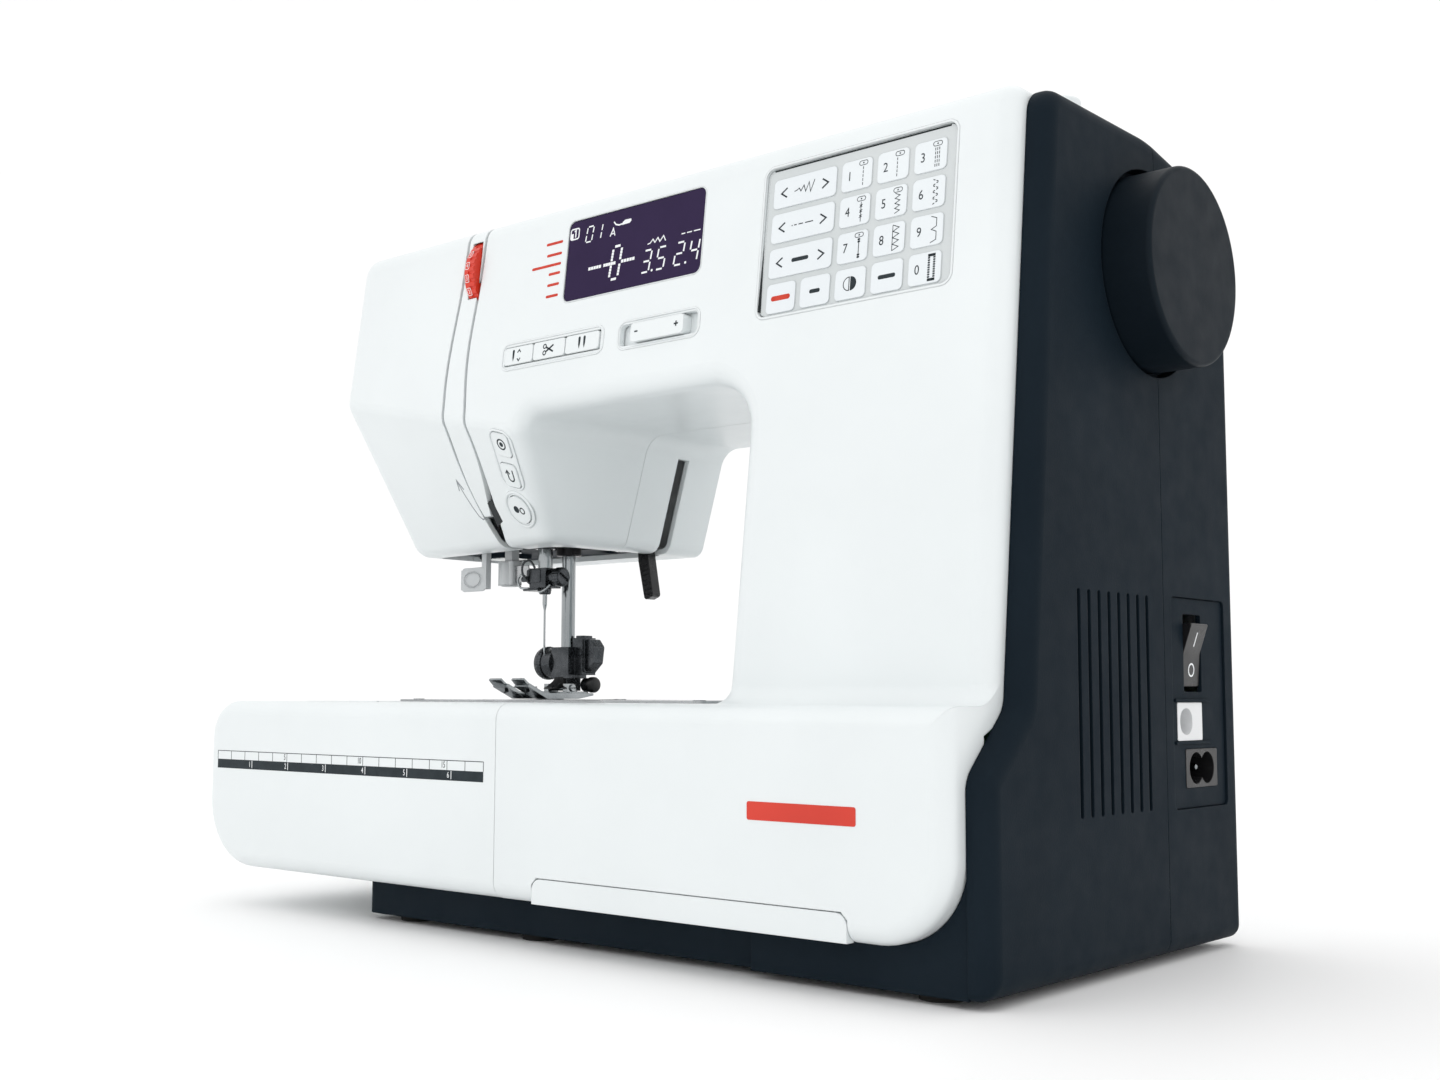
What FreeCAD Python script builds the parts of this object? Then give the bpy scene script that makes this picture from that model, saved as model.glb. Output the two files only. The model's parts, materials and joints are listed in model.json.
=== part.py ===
import FreeCAD, Part
import math
import os

# Computerised household sewing machine, millimetres, +Z up.
# Origin on the table under the centre of the outline: +X to the handwheel, -Y to the user.
V = FreeCAD.Vector
os.makedirs("parts", exist_ok=True)

# ---- driving dimensions ----
HALF_LENGTH = 198.0
FRONT_Y = -90.0
BED_Z = 84.5
SKIRT_Z = 16.0
TOP_Z = 279.0
WALL = 2.4
GAP = 0.2
LEAN = 0.113
ARM_LEFT = -161.0
ARM_BACK = 66.0
COLUMN_LEFT = 73.0
COLUMN_RIGHT = 174.0
COLUMN_BACK = 86.0
ARM_UNDER = 196.0
HEAD_UNDER = 149.0
CAP_X = 182.0
BOX_SEAM = -13.6
SPLIT_Y = 17.0
EDGE_R = 7.0
SHAFT_Y = 27.5
SHAFT_Z = 230.0
SHAFT_R = 6.0
WHEEL_R = 33.5
NEEDLE_X = -88.0
NEEDLE_Y = 2.0
PRESSER_Y = 16.0
PLATE_TOP = 85.4
PLATE_UNDER = 83.5
HOOK_Y = -20.0
LOWER_Z = 46.0
LEG_X = ((100.0, 112.0), (152.0, 164.0))
CLAMP_Z = 133.0
CLAMP_TOP = 141.5
NEEDLE_TIP = 104.0
BAR_TOP = 275.0
SWING_Z = 262.0
LEVER_X = (-83.8, -82.8)


# ---- helpers ----
def save(name, shape):
    shape.exportStep("parts/" + name + ".step")


def box(x0, x1, y0, y1, z0, z1):
    return Part.makeBox(x1 - x0, y1 - y0, z1 - z0, V(x0, y0, z0))


def cyl(x, y, z, r, length, direction):
    return Part.makeCylinder(r, length, V(x, y, z), V(*direction))


def fused(items):
    first = items[0]
    return first.fuse(items[1:]).removeSplitter() if len(items) > 1 else first


def wire_of(points, lift):
    """closed outline of (u, v, corner radius) points, placed in space by lift"""
    count = len(points)
    corners = []
    for i in range(count):
        before = V(points[i - 1][0], points[i - 1][1], 0)
        here = V(points[i][0], points[i][1], 0)
        after = V(points[(i + 1) % count][0], points[(i + 1) % count][1], 0)
        radius = points[i][2] if len(points[i]) > 2 else 0
        if radius <= 0:
            corners.append((here, None, here))
            continue
        a = (before - here).normalize()
        b = (after - here).normalize()
        half_angle = a.getAngle(b) / 2
        run = radius / math.tan(half_angle)
        centre = here + (a + b).normalize() * (radius / math.sin(half_angle))
        middle = centre + (here - centre).normalize() * radius
        corners.append((here + a * run, middle, here + b * run))
    edges = []
    for i in range(count):
        start, middle, end = corners[i]
        if middle is not None:
            edges.append(Part.Arc(lift(start), lift(middle), lift(end)).toShape())
        following = corners[(i + 1) % count][0]
        if (following - end).Length > 1e-6:
            edges.append(Part.makeLine(lift(end), lift(following)))
    return Part.Wire(edges)


def prism_x(points, x0, x1):
    """outline in (y, z) carried along X"""
    return Part.Face(wire_of(points, lambda p: V(x0, p.x, p.y))).extrude(V(x1 - x0, 0, 0))


def prism_y(points, y0, y1):
    """outline in (x, z) carried along Y"""
    return Part.Face(wire_of(points, lambda p: V(p.x, y0, p.y))).extrude(V(0, y1 - y0, 0))


def prism_z(points, z0, z1):
    """outline in (x, y) carried along Z"""
    return Part.Face(wire_of(points, lambda p: V(p.x, p.y, z0))).extrude(V(0, 0, z1 - z0))


def rect(u0, u1, v0, v1, r=0.0):
    return [(u0, v0, r), (u1, v0, r), (u1, v1, r), (u0, v1, r)]


def grown(limits, by, r):
    """rounded rectangle larger than the given limits, or smaller where by is negative"""
    return rect(limits[0] - by, limits[1] + by, limits[2] - by, limits[3] + by, r)


def half(point, normal, size=1000.0):
    """large block on the side of a plane that the normal points to"""
    block = Part.makeBox(size, size, size, V(-size / 2, -size / 2, 0))
    turn = FreeCAD.Rotation(V(0, 0, 1), V(normal))
    block.Placement = FreeCAD.Placement(V(point), turn)
    return block


def front_y(z):
    return -68.0 + LEAN * (z - 85.0)


def lean_slab(outline, near, far):
    """outline in (x, z) cut to the layer between two depths behind the leaning front"""
    solid = prism_y(outline, -120, 0)
    solid = solid.cut(half(V(0, front_y(85) + near, 85), V(0, -1, LEAN)))
    return solid.common(half(V(0, front_y(85) + far, 85), V(0, -1, LEAN)))


def belt(x0, x1, y_a, z_a, r_a, y_b, z_b, r_b, thick):
    """closed loop round two pulleys on X axes, its inside at the given radii"""
    def loop(extra):
        ra = r_a + extra
        rb = r_b + extra
        dy = y_b - y_a
        dz = z_b - z_a
        length = math.hypot(dy, dz)
        base = math.atan2(dz, dy)
        side = math.acos((ra - rb) / length)
        pa = [V(x0, y_a + ra * math.cos(base + s * side), z_a + ra * math.sin(base + s * side))
              for s in (1, -1)]
        pb = [V(x0, y_b + rb * math.cos(base + s * side), z_b + rb * math.sin(base + s * side))
              for s in (1, -1)]
        far_a = V(x0, y_a - ra * math.cos(base), z_a - ra * math.sin(base))
        far_b = V(x0, y_b + rb * math.cos(base), z_b + rb * math.sin(base))
        edges = [Part.Arc(pa[0], far_a, pa[1]).toShape(), Part.makeLine(pa[1], pb[1])]
        edges += [Part.Arc(pb[1], far_b, pb[0]).toShape(), Part.makeLine(pb[0], pa[0])]
        return Part.Face(Part.Wire(edges)).extrude(V(x1 - x0, 0, 0))
    return loop(thick).cut(loop(0.0))


# ---- white body: head, arm, column and base as one leaning C ----
SLOPE_A = V(ARM_LEFT, -53.5, 213.7)
SLOPE_B = V(-50.0, -55.8, 191.0)
SLOPE_C = V(ARM_LEFT, -10.6, 149.6)
SLOPE_N = (SLOPE_B - SLOPE_A).cross(SLOPE_C - SLOPE_A)
if SLOPE_N.y > 0:
    SLOPE_N = SLOPE_N * -1
SLOPE_N.normalize()


def white_body(t, r):
    """outer form for t = 0, or the same form with every face t further in"""
    arm = prism_y([(ARM_LEFT + t, HEAD_UNDER + t, 8 - t), (-55 - 0.74 * t, HEAD_UNDER + t, 6 - t),
                   (-41 - 0.74 * t, ARM_UNDER + t, 10 + t), (COLUMN_LEFT + t, ARM_UNDER + t, 20 + t),
                   (COLUMN_LEFT + t, 60), (COLUMN_RIGHT - t, 60),
                   (COLUMN_RIGHT - t, TOP_Z - t, 5 - t), (-157.5 + t, TOP_Z - t, 9 - t)],
                  -100, COLUMN_BACK - t)
    arm = arm.cut(half(V(0, front_y(85) + t, 85), V(0, -1, LEAN)))
    slope = half(SLOPE_A - SLOPE_N * t, SLOPE_N)
    arm = arm.cut(slope.common(box(-250, 60, -200, 60, 100, 250)))
    back = box(-250, COLUMN_LEFT + t - 12, ARM_BACK - t, 200, 100, 400)
    arm = arm.cut(back)
    base = prism_y([(BOX_SEAM + t, SKIRT_Z + t), (COLUMN_RIGHT - t, SKIRT_Z + t, 26 - t),
                    (COLUMN_RIGHT - t, BED_Z - t), (BOX_SEAM + t, BED_Z - t)],
                   FRONT_Y + t, COLUMN_BACK - t)
    body = arm.fuse(base).removeSplitter()
    picked = []
    for edge in body.Edges:
        c = edge.CenterOfMass
        ends = [v.Point for v in edge.Vertexes]
        on_front = all(abs(p.y - t - front_y(p.z)) < 0.4 for p in ends)
        if on_front and c.z > BED_Z + 2 and abs(c.y - t - front_y(c.z)) < 0.9:
            picked.append(edge)
            continue
        on_slope = all(abs((p - SLOPE_A).dot(SLOPE_N) + t) < 0.05 for p in ends)
        if on_slope and edge.Length > 20:
            picked.append(edge)
    return body.makeFillet(r, picked)


def base_edges(body, t, r):
    picked = []
    for edge in body.Edges:
        c = edge.CenterOfMass
        ends = [v.Point for v in edge.Vertexes]
        if all(abs(p.y - FRONT_Y - t) < 0.01 for p in ends) and c.x > BOX_SEAM + 1:
            if c.z > SKIRT_Z + t + 0.5:
                picked.append(edge)
    return body.makeFillet(r, picked)


def root_blend(body, r):
    """soft foot where the column and its corner rise out of the bed"""
    picked = []
    for edge in body.Edges:
        c = edge.CenterOfMass
        if abs(c.z - BED_Z) < 0.01 and COLUMN_LEFT - 1 < c.x < 150 and -75 < c.y < 30:
            if abs(c.x - COLUMN_LEFT) < 4 or abs(c.y + 68) < 1:
                picked.append(edge)
    return body.makeFillet(r, picked)


outer = base_edges(white_body(0.0, EDGE_R), 0.0, 6.0)
outer = root_blend(outer, 7.0)
inner = base_edges(white_body(WALL, 4.0), WALL, 3.6)
inner = inner.fuse(box(BOX_SEAM - 1, BOX_SEAM + 4, -40, 44, 36, 82.0))
shell = outer.cut(inner)

# window in the right end, hidden by the dark covers
window = prism_x([(-70, 22), (-70, 76), (-44, 88, 8), (-26, 262, 8), (64, 262, 8), (78, 22)],
                 COLUMN_RIGHT - WALL - 1, COLUMN_RIGHT + 1)
shell = shell.cut(window)
# open underside of the head
shell = shell.cut(prism_z([(-153, -4, 6), (-66, -12, 10), (-62, 50, 6), (-153, 50, 6)], 140, 153))
# slot in the head's right face for the presser lifter
lift_slot = box(-75, -30, 37.5, 44.5, 140, 189)
shell = shell.cut(lift_slot)
# opening in the top for the spool tray
TRAY_X0 = -70.0
TRAY_X1 = 166.0
tray_hole = prism_z(rect(TRAY_X0, TRAY_X1, -28, 58, 10), 270, 290)
shell = shell.cut(tray_hole)
# recess for the metal bed plate, and the way through it to the hook and feed
plate_bay = box(-135.3, 39.3, -40.3, 45.3, PLATE_UNDER - 0.1, 90)
shell = shell.cut(plate_bay)
shell = shell.cut(box(-14.0, 30, -36, 40, 70, 90))

# ---- thread channel: two long slots in the front of the head ----
LEFT_SLOT = [(-83.6, 300), (-84.2, 274), (-85.6, 252), (-88.8, 228), (-89.6, 210), (-89.4, 199),
             (-91.2, 188), (-92.4, 162)]
RIGHT_SLOT = [(-72.6, 300), (-73.4, 274), (-75.1, 248), (-77.3, 227), (-76.6, 209), (-75.6, 198),
              (-76.6, 186), (-80.6, 168), (-84.0, 156), (-86.4, 148), (-88, 138)]


def channel_side(points, shift, far_x, z_low, y_end):
    """solid between a slot's curve and a far plane, in front of y_end"""
    curve = Part.BSplineCurve()
    curve.interpolate([V(x + shift, -120, z) for x, z in points])
    top = V(points[0][0] + shift, -120, points[0][1])
    low = V(points[-1][0] + shift, -120, points[-1][1])
    low_end = V(low.x, -120, z_low)
    edges = [curve.toShape()]
    if (low_end - low).Length > 0.01:
        edges.append(Part.makeLine(low, low_end))
    edges.append(Part.makeLine(low_end, V(far_x, -120, z_low)))
    edges.append(Part.makeLine(V(far_x, -120, z_low), V(far_x, -120, top.z)))
    edges.append(Part.makeLine(V(far_x, -120, top.z), top))
    return Part.Face(Part.Wire(edges)).extrude(V(0, y_end + 120, 0))


SLOT = 1.5
front_zone = box(-250, 250, -200, SPLIT_Y, -10, 400)
# the lower end of the left slot turns into the seam under the channel strip
FACE_EDGE = LEFT_SLOT[:-1] + [(-92.0, 163), (-90.6, 156), (-88.4, 148), (-88.4, 138)]
face_zone = channel_side(FACE_EDGE, -SLOT / 2, -250, 138, SPLIT_Y)
right_zone = channel_side(RIGHT_SLOT, SLOT / 2, 250, 138, SPLIT_Y)
low_right = box(-60, 250, -200, SPLIT_Y, -10, 140)
strip_zone = channel_side(LEFT_SLOT, SLOT / 2, 250, 161.5, SPLIT_Y)
strip_cut = channel_side(RIGHT_SLOT[:7] + [(-81.5, 172), (-86.0, 161.5), (-87, 150)],
                         -SLOT / 2, 250, 138, SPLIT_Y)

front_shell = shell.common(front_zone)
face_cover = front_shell.common(face_zone)
front_cover = front_shell.common(right_zone.fuse(low_right))
strip_layer = front_shell.common(strip_zone).cut(strip_cut)

# tension dial's place in the strip
DIAL_X0 = -81.0
DIAL_X1 = -75.6
DIAL_Z = 259.0
DIAL_R = 18.0
DIAL_Y = front_y(DIAL_Z) + DIAL_R - 3.4
dial_room = cyl(DIAL_X0 - 0.4, DIAL_Y, DIAL_Z, DIAL_R + 0.8, DIAL_X1 - DIAL_X0 + 0.8, (1, 0, 0))
channel_strip = strip_layer.cut(dial_room)
face_cover = face_cover.cut(dial_room)
front_cover = front_cover.cut(dial_room)

rear_cover = shell.cut(box(-250, 250, -200, SPLIT_Y + GAP, -10, 400))
# ways through its floor for the legs of the cast frame
for x0, x1 in LEG_X:
    rear_cover = rear_cover.cut(box(x0 - 0.5, x1 + 0.5, 35.5, 62.5, 10, 27))


def slope_point(x, z):
    """point of the head's sloping front at a given x and z"""
    y = SLOPE_A.y - (SLOPE_N.x * (x - SLOPE_A.x) + SLOPE_N.z * (z - SLOPE_A.z)) / SLOPE_N.y
    return V(x, y, z)


# ---- display, keypad and buttons in the leaning front ----
LCD = (-23.6, 46.8, 238.2, 270.4)
KEYS = (75.6, 153.0, 216.6, 269.6)
front_cover = front_cover.cut(lean_slab(grown(LCD, GAP, 3), -4, 8))
front_cover = front_cover.cut(lean_slab(grown(KEYS, GAP, 3), -4, 8))
lcd_window = lean_slab(rect(*LCD, 3), 0.25, 1.7)
lcd_module = lean_slab(grown(LCD, 2, 1), 2.7, 8.5)
KEY_PITCH_X = 14.6
KEY_PITCH_Z = 12.6
key_pads = []
for row in range(4):
    zc = 260.2 - row * KEY_PITCH_Z
    for col in range(5):
        xc = 84.9 + col * KEY_PITCH_X
        if row < 3 and col == 0:
            key_pads.append(rect(xc - 6.2, xc + KEY_PITCH_X + 6.2, zc - 5.3, zc + 5.3, 1.6))
        if row == 3 or col > 1:
            key_pads.append(rect(xc - 6.2, xc + 6.2, zc - 5.3, zc + 5.3, 1.6))
keypad = lean_slab(rect(*KEYS, 3), 0.9, 2.2)
keypad = keypad.fuse([lean_slab(outline, 0.6, 1.4) for outline in key_pads])
main_board = box(78, 160, -38, -36.4, 150, 266)
chips = [box(90 + 22 * k, 102 + 22 * k, -36.4, -33.5, 176, 188) for k in range(3)]
main_board = fused([main_board] + chips + [box(84, 96, -36.4, -28, 206, 216)])

BUTTON_EDGES = (-54.0, -37.4, -19.4, -1.0)
button_nodes = []
for k in range(3):
    x0 = BUTTON_EDGES[k]
    x1 = BUTTON_EDGES[k + 1]
    room = lean_slab(rect(x0 - 0.2, x1 + 0.2, 216.3, 224.1, 0.5), -4, 8)
    front_cover = front_cover.cut(room)
    cap = lean_slab(rect(x0 + 0.25, x1 - 0.25, 216.7, 223.7, 1.2), -0.5, 5.0)
    button_nodes.append(cap)
front_cover = front_cover.cut(lean_slab(rect(9.4, 47.8, 215.6, 223.8, 2), -4, 8))
speed_slider = lean_slab(rect(16.2, 42.4, 216.1, 223.3, 1.5), -1.6, 3.4)
speed_slider = speed_slider.fuse(lean_slab(rect(4.6, 53.2, 213.2, 226.2, 1), 2.9, 3.9))


def slope_frame(x, z):
    origin = slope_point(x, z)
    down = slope_point(x - 2.7, z - 9.8) - origin
    down.normalize()
    across = down.cross(SLOPE_N)
    return origin, across, down


def slope_block(x, z, half_w, half_h, r, out, deep):
    origin, across, down = slope_frame(x, z)
    outline = rect(-half_w, half_w, -half_h, half_h, r)
    base_point = origin + SLOPE_N * out
    wire = wire_of(outline, lambda p: base_point + across * p.x + down * p.y)
    return Part.Face(wire).extrude(SLOPE_N * -(out + deep))


LOCK = (-56.6, 186.0)
REVERSE = (-59.9, 174.9)
START = (-64.4, 162.2)
front_cover = front_cover.cut(slope_block(LOCK[0], LOCK[1], 4.9, 5.6, 2.2, 6, 9))
front_cover = front_cover.cut(slope_block(REVERSE[0], REVERSE[1], 4.9, 5.6, 2.2, 6, 9))
start_at = slope_point(*START)
front_cover = front_cover.cut(Part.makeCylinder(6.6, 16, start_at + SLOPE_N * 6, SLOPE_N * -1))
lock_button = slope_block(LOCK[0], LOCK[1], 4.6, 5.3, 2.0, 0.4, 5)
reverse_button = slope_block(REVERSE[0], REVERSE[1], 4.6, 5.3, 2.0, 0.4, 5)
start_button = Part.makeCylinder(6.3, 5.6, start_at + SLOPE_N * 0.6, SLOPE_N * -1)
tension_dial = cyl(DIAL_X0, DIAL_Y, DIAL_Z, DIAL_R, DIAL_X1 - DIAL_X0, (1, 0, 0))
tension_dial = tension_dial.cut(cyl(DIAL_X0 - 1, DIAL_Y, DIAL_Z, 3.05, 12, (1, 0, 0)))
for k in range(36):
    a = math.radians(10 * k)
    tension_dial = tension_dial.cut(cyl(DIAL_X0 + 2.2, DIAL_Y + (DIAL_R + 0.3) * math.cos(a),
                                        DIAL_Z + (DIAL_R + 0.3) * math.sin(a), 0.8, 9, (1, 0, 0)))
dial_axle = fused([cyl(-82.4, DIAL_Y, DIAL_Z, 3.0, 24.4, (1, 0, 0)),
                   cyl(-72.0, DIAL_Y, DIAL_Z, 12, 2, (1, 0, 0)),
                   box(-60, -58, DIAL_Y - 8, 58, 246, 258)])

# ---- dark right side covers ----
SEAM_Y = 31.0


def cap_outline(t):
    return [(-80.5 + t, 2.5 + t, 3), (-80.5 + t, 64, 9), (-59.5 + t, 84, 9), (-39.5 + t, 278 - t, 10),
            (30, 278.8 - t, 60), (80 - t, 270 - t, 14), (90.0 - t, 236, 60), (90.0 - t, 2.5 + t, 3)]


cap = prism_x(cap_outline(0.0), COLUMN_RIGHT + GAP, CAP_X)
rim = []
for edge in cap.Edges:
    c = edge.CenterOfMass
    if abs(c.x - CAP_X) < 0.01 and c.z > 6:
        rim.append(edge)
cap = cap.makeFillet(6.0, rim)
cap = cap.cut(prism_x(cap_outline(WALL), COLUMN_RIGHT - 1, CAP_X - WALL))
cap = cap.fuse(cyl(COLUMN_RIGHT + GAP, SHAFT_Y, SHAFT_Z, 38.0, 7.0, (1, 0, 0)))
cap = cap.cut(cyl(COLUMN_RIGHT + 2.6, SHAFT_Y, SHAFT_Z, 35.4, 20, (1, 0, 0)))
cap = cap.cut(cyl(COLUMN_RIGHT - 2, SHAFT_Y, SHAFT_Z, 8.0, 20, (1, 0, 0)))
VENT_PITCH = 6.57
for k in range(8):
    y0 = -27.2 + k * VENT_PITCH
    cap = cap.cut(prism_x(rect(y0 - 1.0, y0 + 1.0, 50.5, 120.6, 0.9), 170, 190))
PANEL = (37.0, 78.6, 50.0, 121.0)
cap = cap.cut(prism_x(grown(PANEL, GAP, 2), 170, 190))
side_cover_front = cap.cut(box(150, 220, SEAM_Y - 0.15, 200, -10, 400))
side_cover_rear = cap.cut(box(150, 220, -200, SEAM_Y + 0.15, -10, 400))

# ---- sockets and mains switch ----
SWITCH = (47.2, 61.1, 89.1, 115.6)
PEDAL = (41.2, 60.5, 72.5, 85.6)
INLET = (46.9, 71.7, 56.6, 69.8)
socket_panel = prism_x(rect(*PANEL, 2), 179.6, 181.2)
for y0, y1, z0, z1 in (SWITCH, PEDAL, INLET):
    socket_panel = socket_panel.cut(prism_x(rect(y0, y1, z0, z1, 0.8), 170, 190))
pedal_socket = prism_x(grown(PEDAL, -0.1, 0.6), 166, 181.4)
pedal_socket = pedal_socket.cut(prism_x(rect(43.2, 52.6, 74.6, 83.5, 4.2), 170, 190))
mains_inlet = prism_x(grown(INLET, -0.1, 0.8), 162, 181.4)
INLET_Y = 59.3
INLET_Z = 63.2
for side in (-1, 1):
    mains_inlet = mains_inlet.cut(cyl(167, INLET_Y + side * 4.3, INLET_Z, 5.4, 20, (1, 0, 0)))
inlet_pins = [cyl(164, INLET_Y + side * 4.3, INLET_Z, 1.2, 13, (1, 0, 0)) for side in (-1, 1)]
mains_inlet = fused([mains_inlet] + inlet_pins)
ROCK_X = 175.5
ROCK_Z = 102.3
rocker_form = [(172.0, 91.5), (180.4, 90.8, 0.6), (181.0, 102.3, 6), (184.4, 112.6, 0.6), (172.0, 112.0)]
trunnion = cyl(ROCK_X, SWITCH[0] + 0.2, ROCK_Z, 1.5, SWITCH[1] - SWITCH[0] - 0.4, (0, 1, 0))
rocker_switch = prism_y(rocker_form, SWITCH[0] + 0.5, SWITCH[1] - 0.5).fuse(trunnion)

# ---- base pan, feet, chart tray ----
pan = [(-104, -75.5, 4), (95, -75.5), (95, -79.5), (173.9, -79.5), (173.9, 84, 3), (-104, 84, 6)]
pan_in = [(-101.6, -73.1, 3), (97.4, -73.1), (97.4, -77.1), (171.5, -77.1), (171.5, 81.6, 2),
          (-101.6, 81.6, 4)]
base_pan = prism_z(pan, 2.5, 15.8).cut(prism_z(pan_in, 5.0, 20))
# upright corner that closes the space beyond the cover's rounded lower corner
corner = box(142, 173.9, -79.5, -74, 15.8, 46)
corner = corner.cut(prism_y([(100, SKIRT_Z - 0.25), (COLUMN_RIGHT + 0.2, SKIRT_Z - 0.25, 26.2),
                             (COLUMN_RIGHT + 0.2, 90), (100, 90)], -100, 0))
base_pan = base_pan.fuse(corner)
FEET = [(-86, -64), (-14, -66), (158, -68), (158, 70), (-86, 68)]
rubber_feet = Part.makeCompound([cyl(x, y, 0, 7.0, 2.5, (0, 0, 1)) for x, y in FEET])
TRAY = (5.7, 139.8)
front_cover = front_cover.cut(box(TRAY[0], TRAY[1], -95, 16, 10, 25.0))
lip = prism_y([(TRAY[0] + GAP, 16.1), (TRAY[1] - GAP, 16.1), (TRAY[1] - GAP, 24.7, 4),
               (TRAY[0] + GAP, 24.7, 4)], -90, -86.5)
chart_tray = lip.fuse(box(TRAY[0] + 1.2, TRAY[1] - 1.2, -86.5, 12, 18.6, 20.4))
front_cover = front_cover.fuse([prism_y([(x, 22.7), (x + s * 2.5, 25.2), (x, 25.2)], -90, -87.6)
                                for x, s in ((TRAY[0], 1), (TRAY[1], -1))])

# ---- accessory box round the free arm ----
ARM_END = -170.0


def box_form(t):
    outline = [(-HALF_LENGTH + t, SKIRT_Z + 0.1 + t, 28 - t), (BOX_SEAM - GAP - t, SKIRT_Z + 0.1 + t),
               (BOX_SEAM - GAP - t, BED_Z - t), (-HALF_LENGTH + t, BED_Z - t, 15 - t)]
    form = prism_y(outline, FRONT_Y + t, COLUMN_BACK - t)
    picked = []
    for edge in form.Edges:
        ends = [v.Point for v in edge.Vertexes]
        if all(abs(p.y - FRONT_Y - t) < 0.01 for p in ends) and edge.CenterOfMass.x < BOX_SEAM - 1 - t:
            picked.append(edge)
    return form.makeFillet(6.0 - 0.6 * t, picked)


arm_bay = prism_z([(ARM_END - 0.8, -42.5, 19), (0, -42.5), (0, 47.5), (ARM_END - 0.8, 47.5, 19)], 32, 120)
arm_bay_wall = prism_z([(ARM_END - 3, -44.7, 21), (10, -44.7), (10, 49.7), (ARM_END - 3, 49.7, 21)],
                       29.8, 130)
accessory_box = box_form(0.0).cut(box_form(2.2).cut(arm_bay_wall)).cut(arm_bay)
LID = (-186.0, -20.0, -84.0, -50.0)
accessory_box = accessory_box.cut(prism_z(rect(*LID, 3), 80, 90))
ledge = prism_z(grown(LID, 2, 3), 80.6, 82.0)
ledge = ledge.cut(prism_z(grown(LID, -2, 3), 79, 83))
accessory_box = accessory_box.fuse(ledge)
box_lid = prism_z(grown(LID, -0.3, 3), 82.2, 84.4)

# ---- free arm and its metal bed ----
arm_form = prism_z([(ARM_END, -41, 18), (BOX_SEAM - GAP, -41), (BOX_SEAM - GAP, 46), (ARM_END, 46, 18)],
                   34, BED_Z)
arm_hollow = prism_z([(ARM_END + 2.2, -38.8, 16), (0, -38.8), (0, 43.8), (ARM_END + 2.2, 43.8, 16)],
                     36.2, 82.1)
free_arm_cover = arm_form.cut(arm_hollow).cut(plate_bay)
free_arm_cover = free_arm_cover.cut(box(-131, 0, -36, 40, 70, 90))
plate_form = prism_z(rect(-135, 39, -40, 45, 5), PLATE_UNDER, PLATE_TOP)
NP = (-112.0, -64.0, -17.6, 34.0)
BC = (-107.0, -69.0, -38.4, -18.2)
bed_plate = plate_form.cut(prism_z(grown(NP, 0.15, 3), 80, 90))
bed_plate = bed_plate.cut(prism_z(rect(BC[0] - 0.3, BC[1] + 0.3, BC[2] - 0.3, BC[3] + 1, 2), 80, 90))
needle_plate = prism_z(rect(*NP, 3), PLATE_UNDER, PLATE_TOP)
needle_slot = rect(NEEDLE_X - 4.6, NEEDLE_X + 4.6, NEEDLE_Y - 1.5, NEEDLE_Y + 1.5, 1.4)
needle_plate = needle_plate.cut(prism_z(needle_slot, 80, 90))
FEED = [(-8, -2.0, 18.0), (-3.7, 7.5, 18.0), (3.7, 7.5, 18.0), (8, -2.0, 18.0)]
feed_bars = []
for dx, y0, y1 in FEED:
    x = NEEDLE_X + dx
    needle_plate = needle_plate.cut(prism_z(rect(x - 1.5, x + 1.5, y0 - 2, y1 + 2, 1.3), 80, 90))
    teeth = [(y0, 74)]
    count = int((y1 - y0) / 1.5)
    step = (y1 - y0) / count
    for k in range(count):
        teeth += [(y0 + k * step, 84.2), (y0 + (k + 0.7) * step, 84.9)]
    teeth += [(y1, 84.2), (y1, 74)]
    feed_bars.append(prism_x(teeth, x - 1.0, x + 1.0))
feed_dog = fused(feed_bars + [box(-97.5, -78.5, 5.0, 17.5, 72, 75), box(-90, -86, 6, 14, 60, 72)])
for x in (-68.5, -107.5):
    head = cyl(x, 29, PLATE_UNDER - 4, 1.6, 5, (0, 0, 1))
    head = head.fuse(cyl(x, 29, PLATE_TOP - 0.4, 2.6, 0.7, (0, 0, 1)))
    needle_plate = needle_plate.fuse(head).cut(box(x - 3, x + 3, 28.6, 29.4, PLATE_TOP - 0.1, 90))
bobbin_cover = prism_z(rect(*BC, 2), 83.9, PLATE_TOP)

# ---- hook, bobbin and lower shaft ----
hook = fused([cyl(NEEDLE_X, HOOK_Y, 60, 17.0, 20, (0, 0, 1))
              .cut(cyl(NEEDLE_X, HOOK_Y, 62, 15.4, 20, (0, 0, 1))),
              cyl(NEEDLE_X, HOOK_Y, 50.4, 3.0, 10, (0, 0, 1)),
              Part.makeCone(9.5, 6.0, 4.0, V(NEEDLE_X, HOOK_Y, 50.4), V(0, 0, 1))])
bobbin_case = cyl(NEEDLE_X, HOOK_Y, 65, 15.0, 16, (0, 0, 1))
bobbin_case = bobbin_case.cut(cyl(NEEDLE_X, HOOK_Y, 66.6, 13.4, 20, (0, 0, 1)))
bobbin_case = bobbin_case.fuse(box(-74, -66, HOOK_Y - 3, HOOK_Y + 3, 80.6, 82.0)
                               .cut(cyl(NEEDLE_X, HOOK_Y, 70, 13.8, 20, (0, 0, 1))))
bobbin = fused([cyl(NEEDLE_X, HOOK_Y, 67.2, 10.4, 1.0, (0, 0, 1)),
                cyl(NEEDLE_X, HOOK_Y, 78, 10.4, 1.0, (0, 0, 1)),
                cyl(NEEDLE_X, HOOK_Y, 67.2, 4.0, 11, (0, 0, 1))])
bobbin = bobbin.cut(cyl(NEEDLE_X, HOOK_Y, 60, 3.0, 30, (0, 0, 1)))
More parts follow.
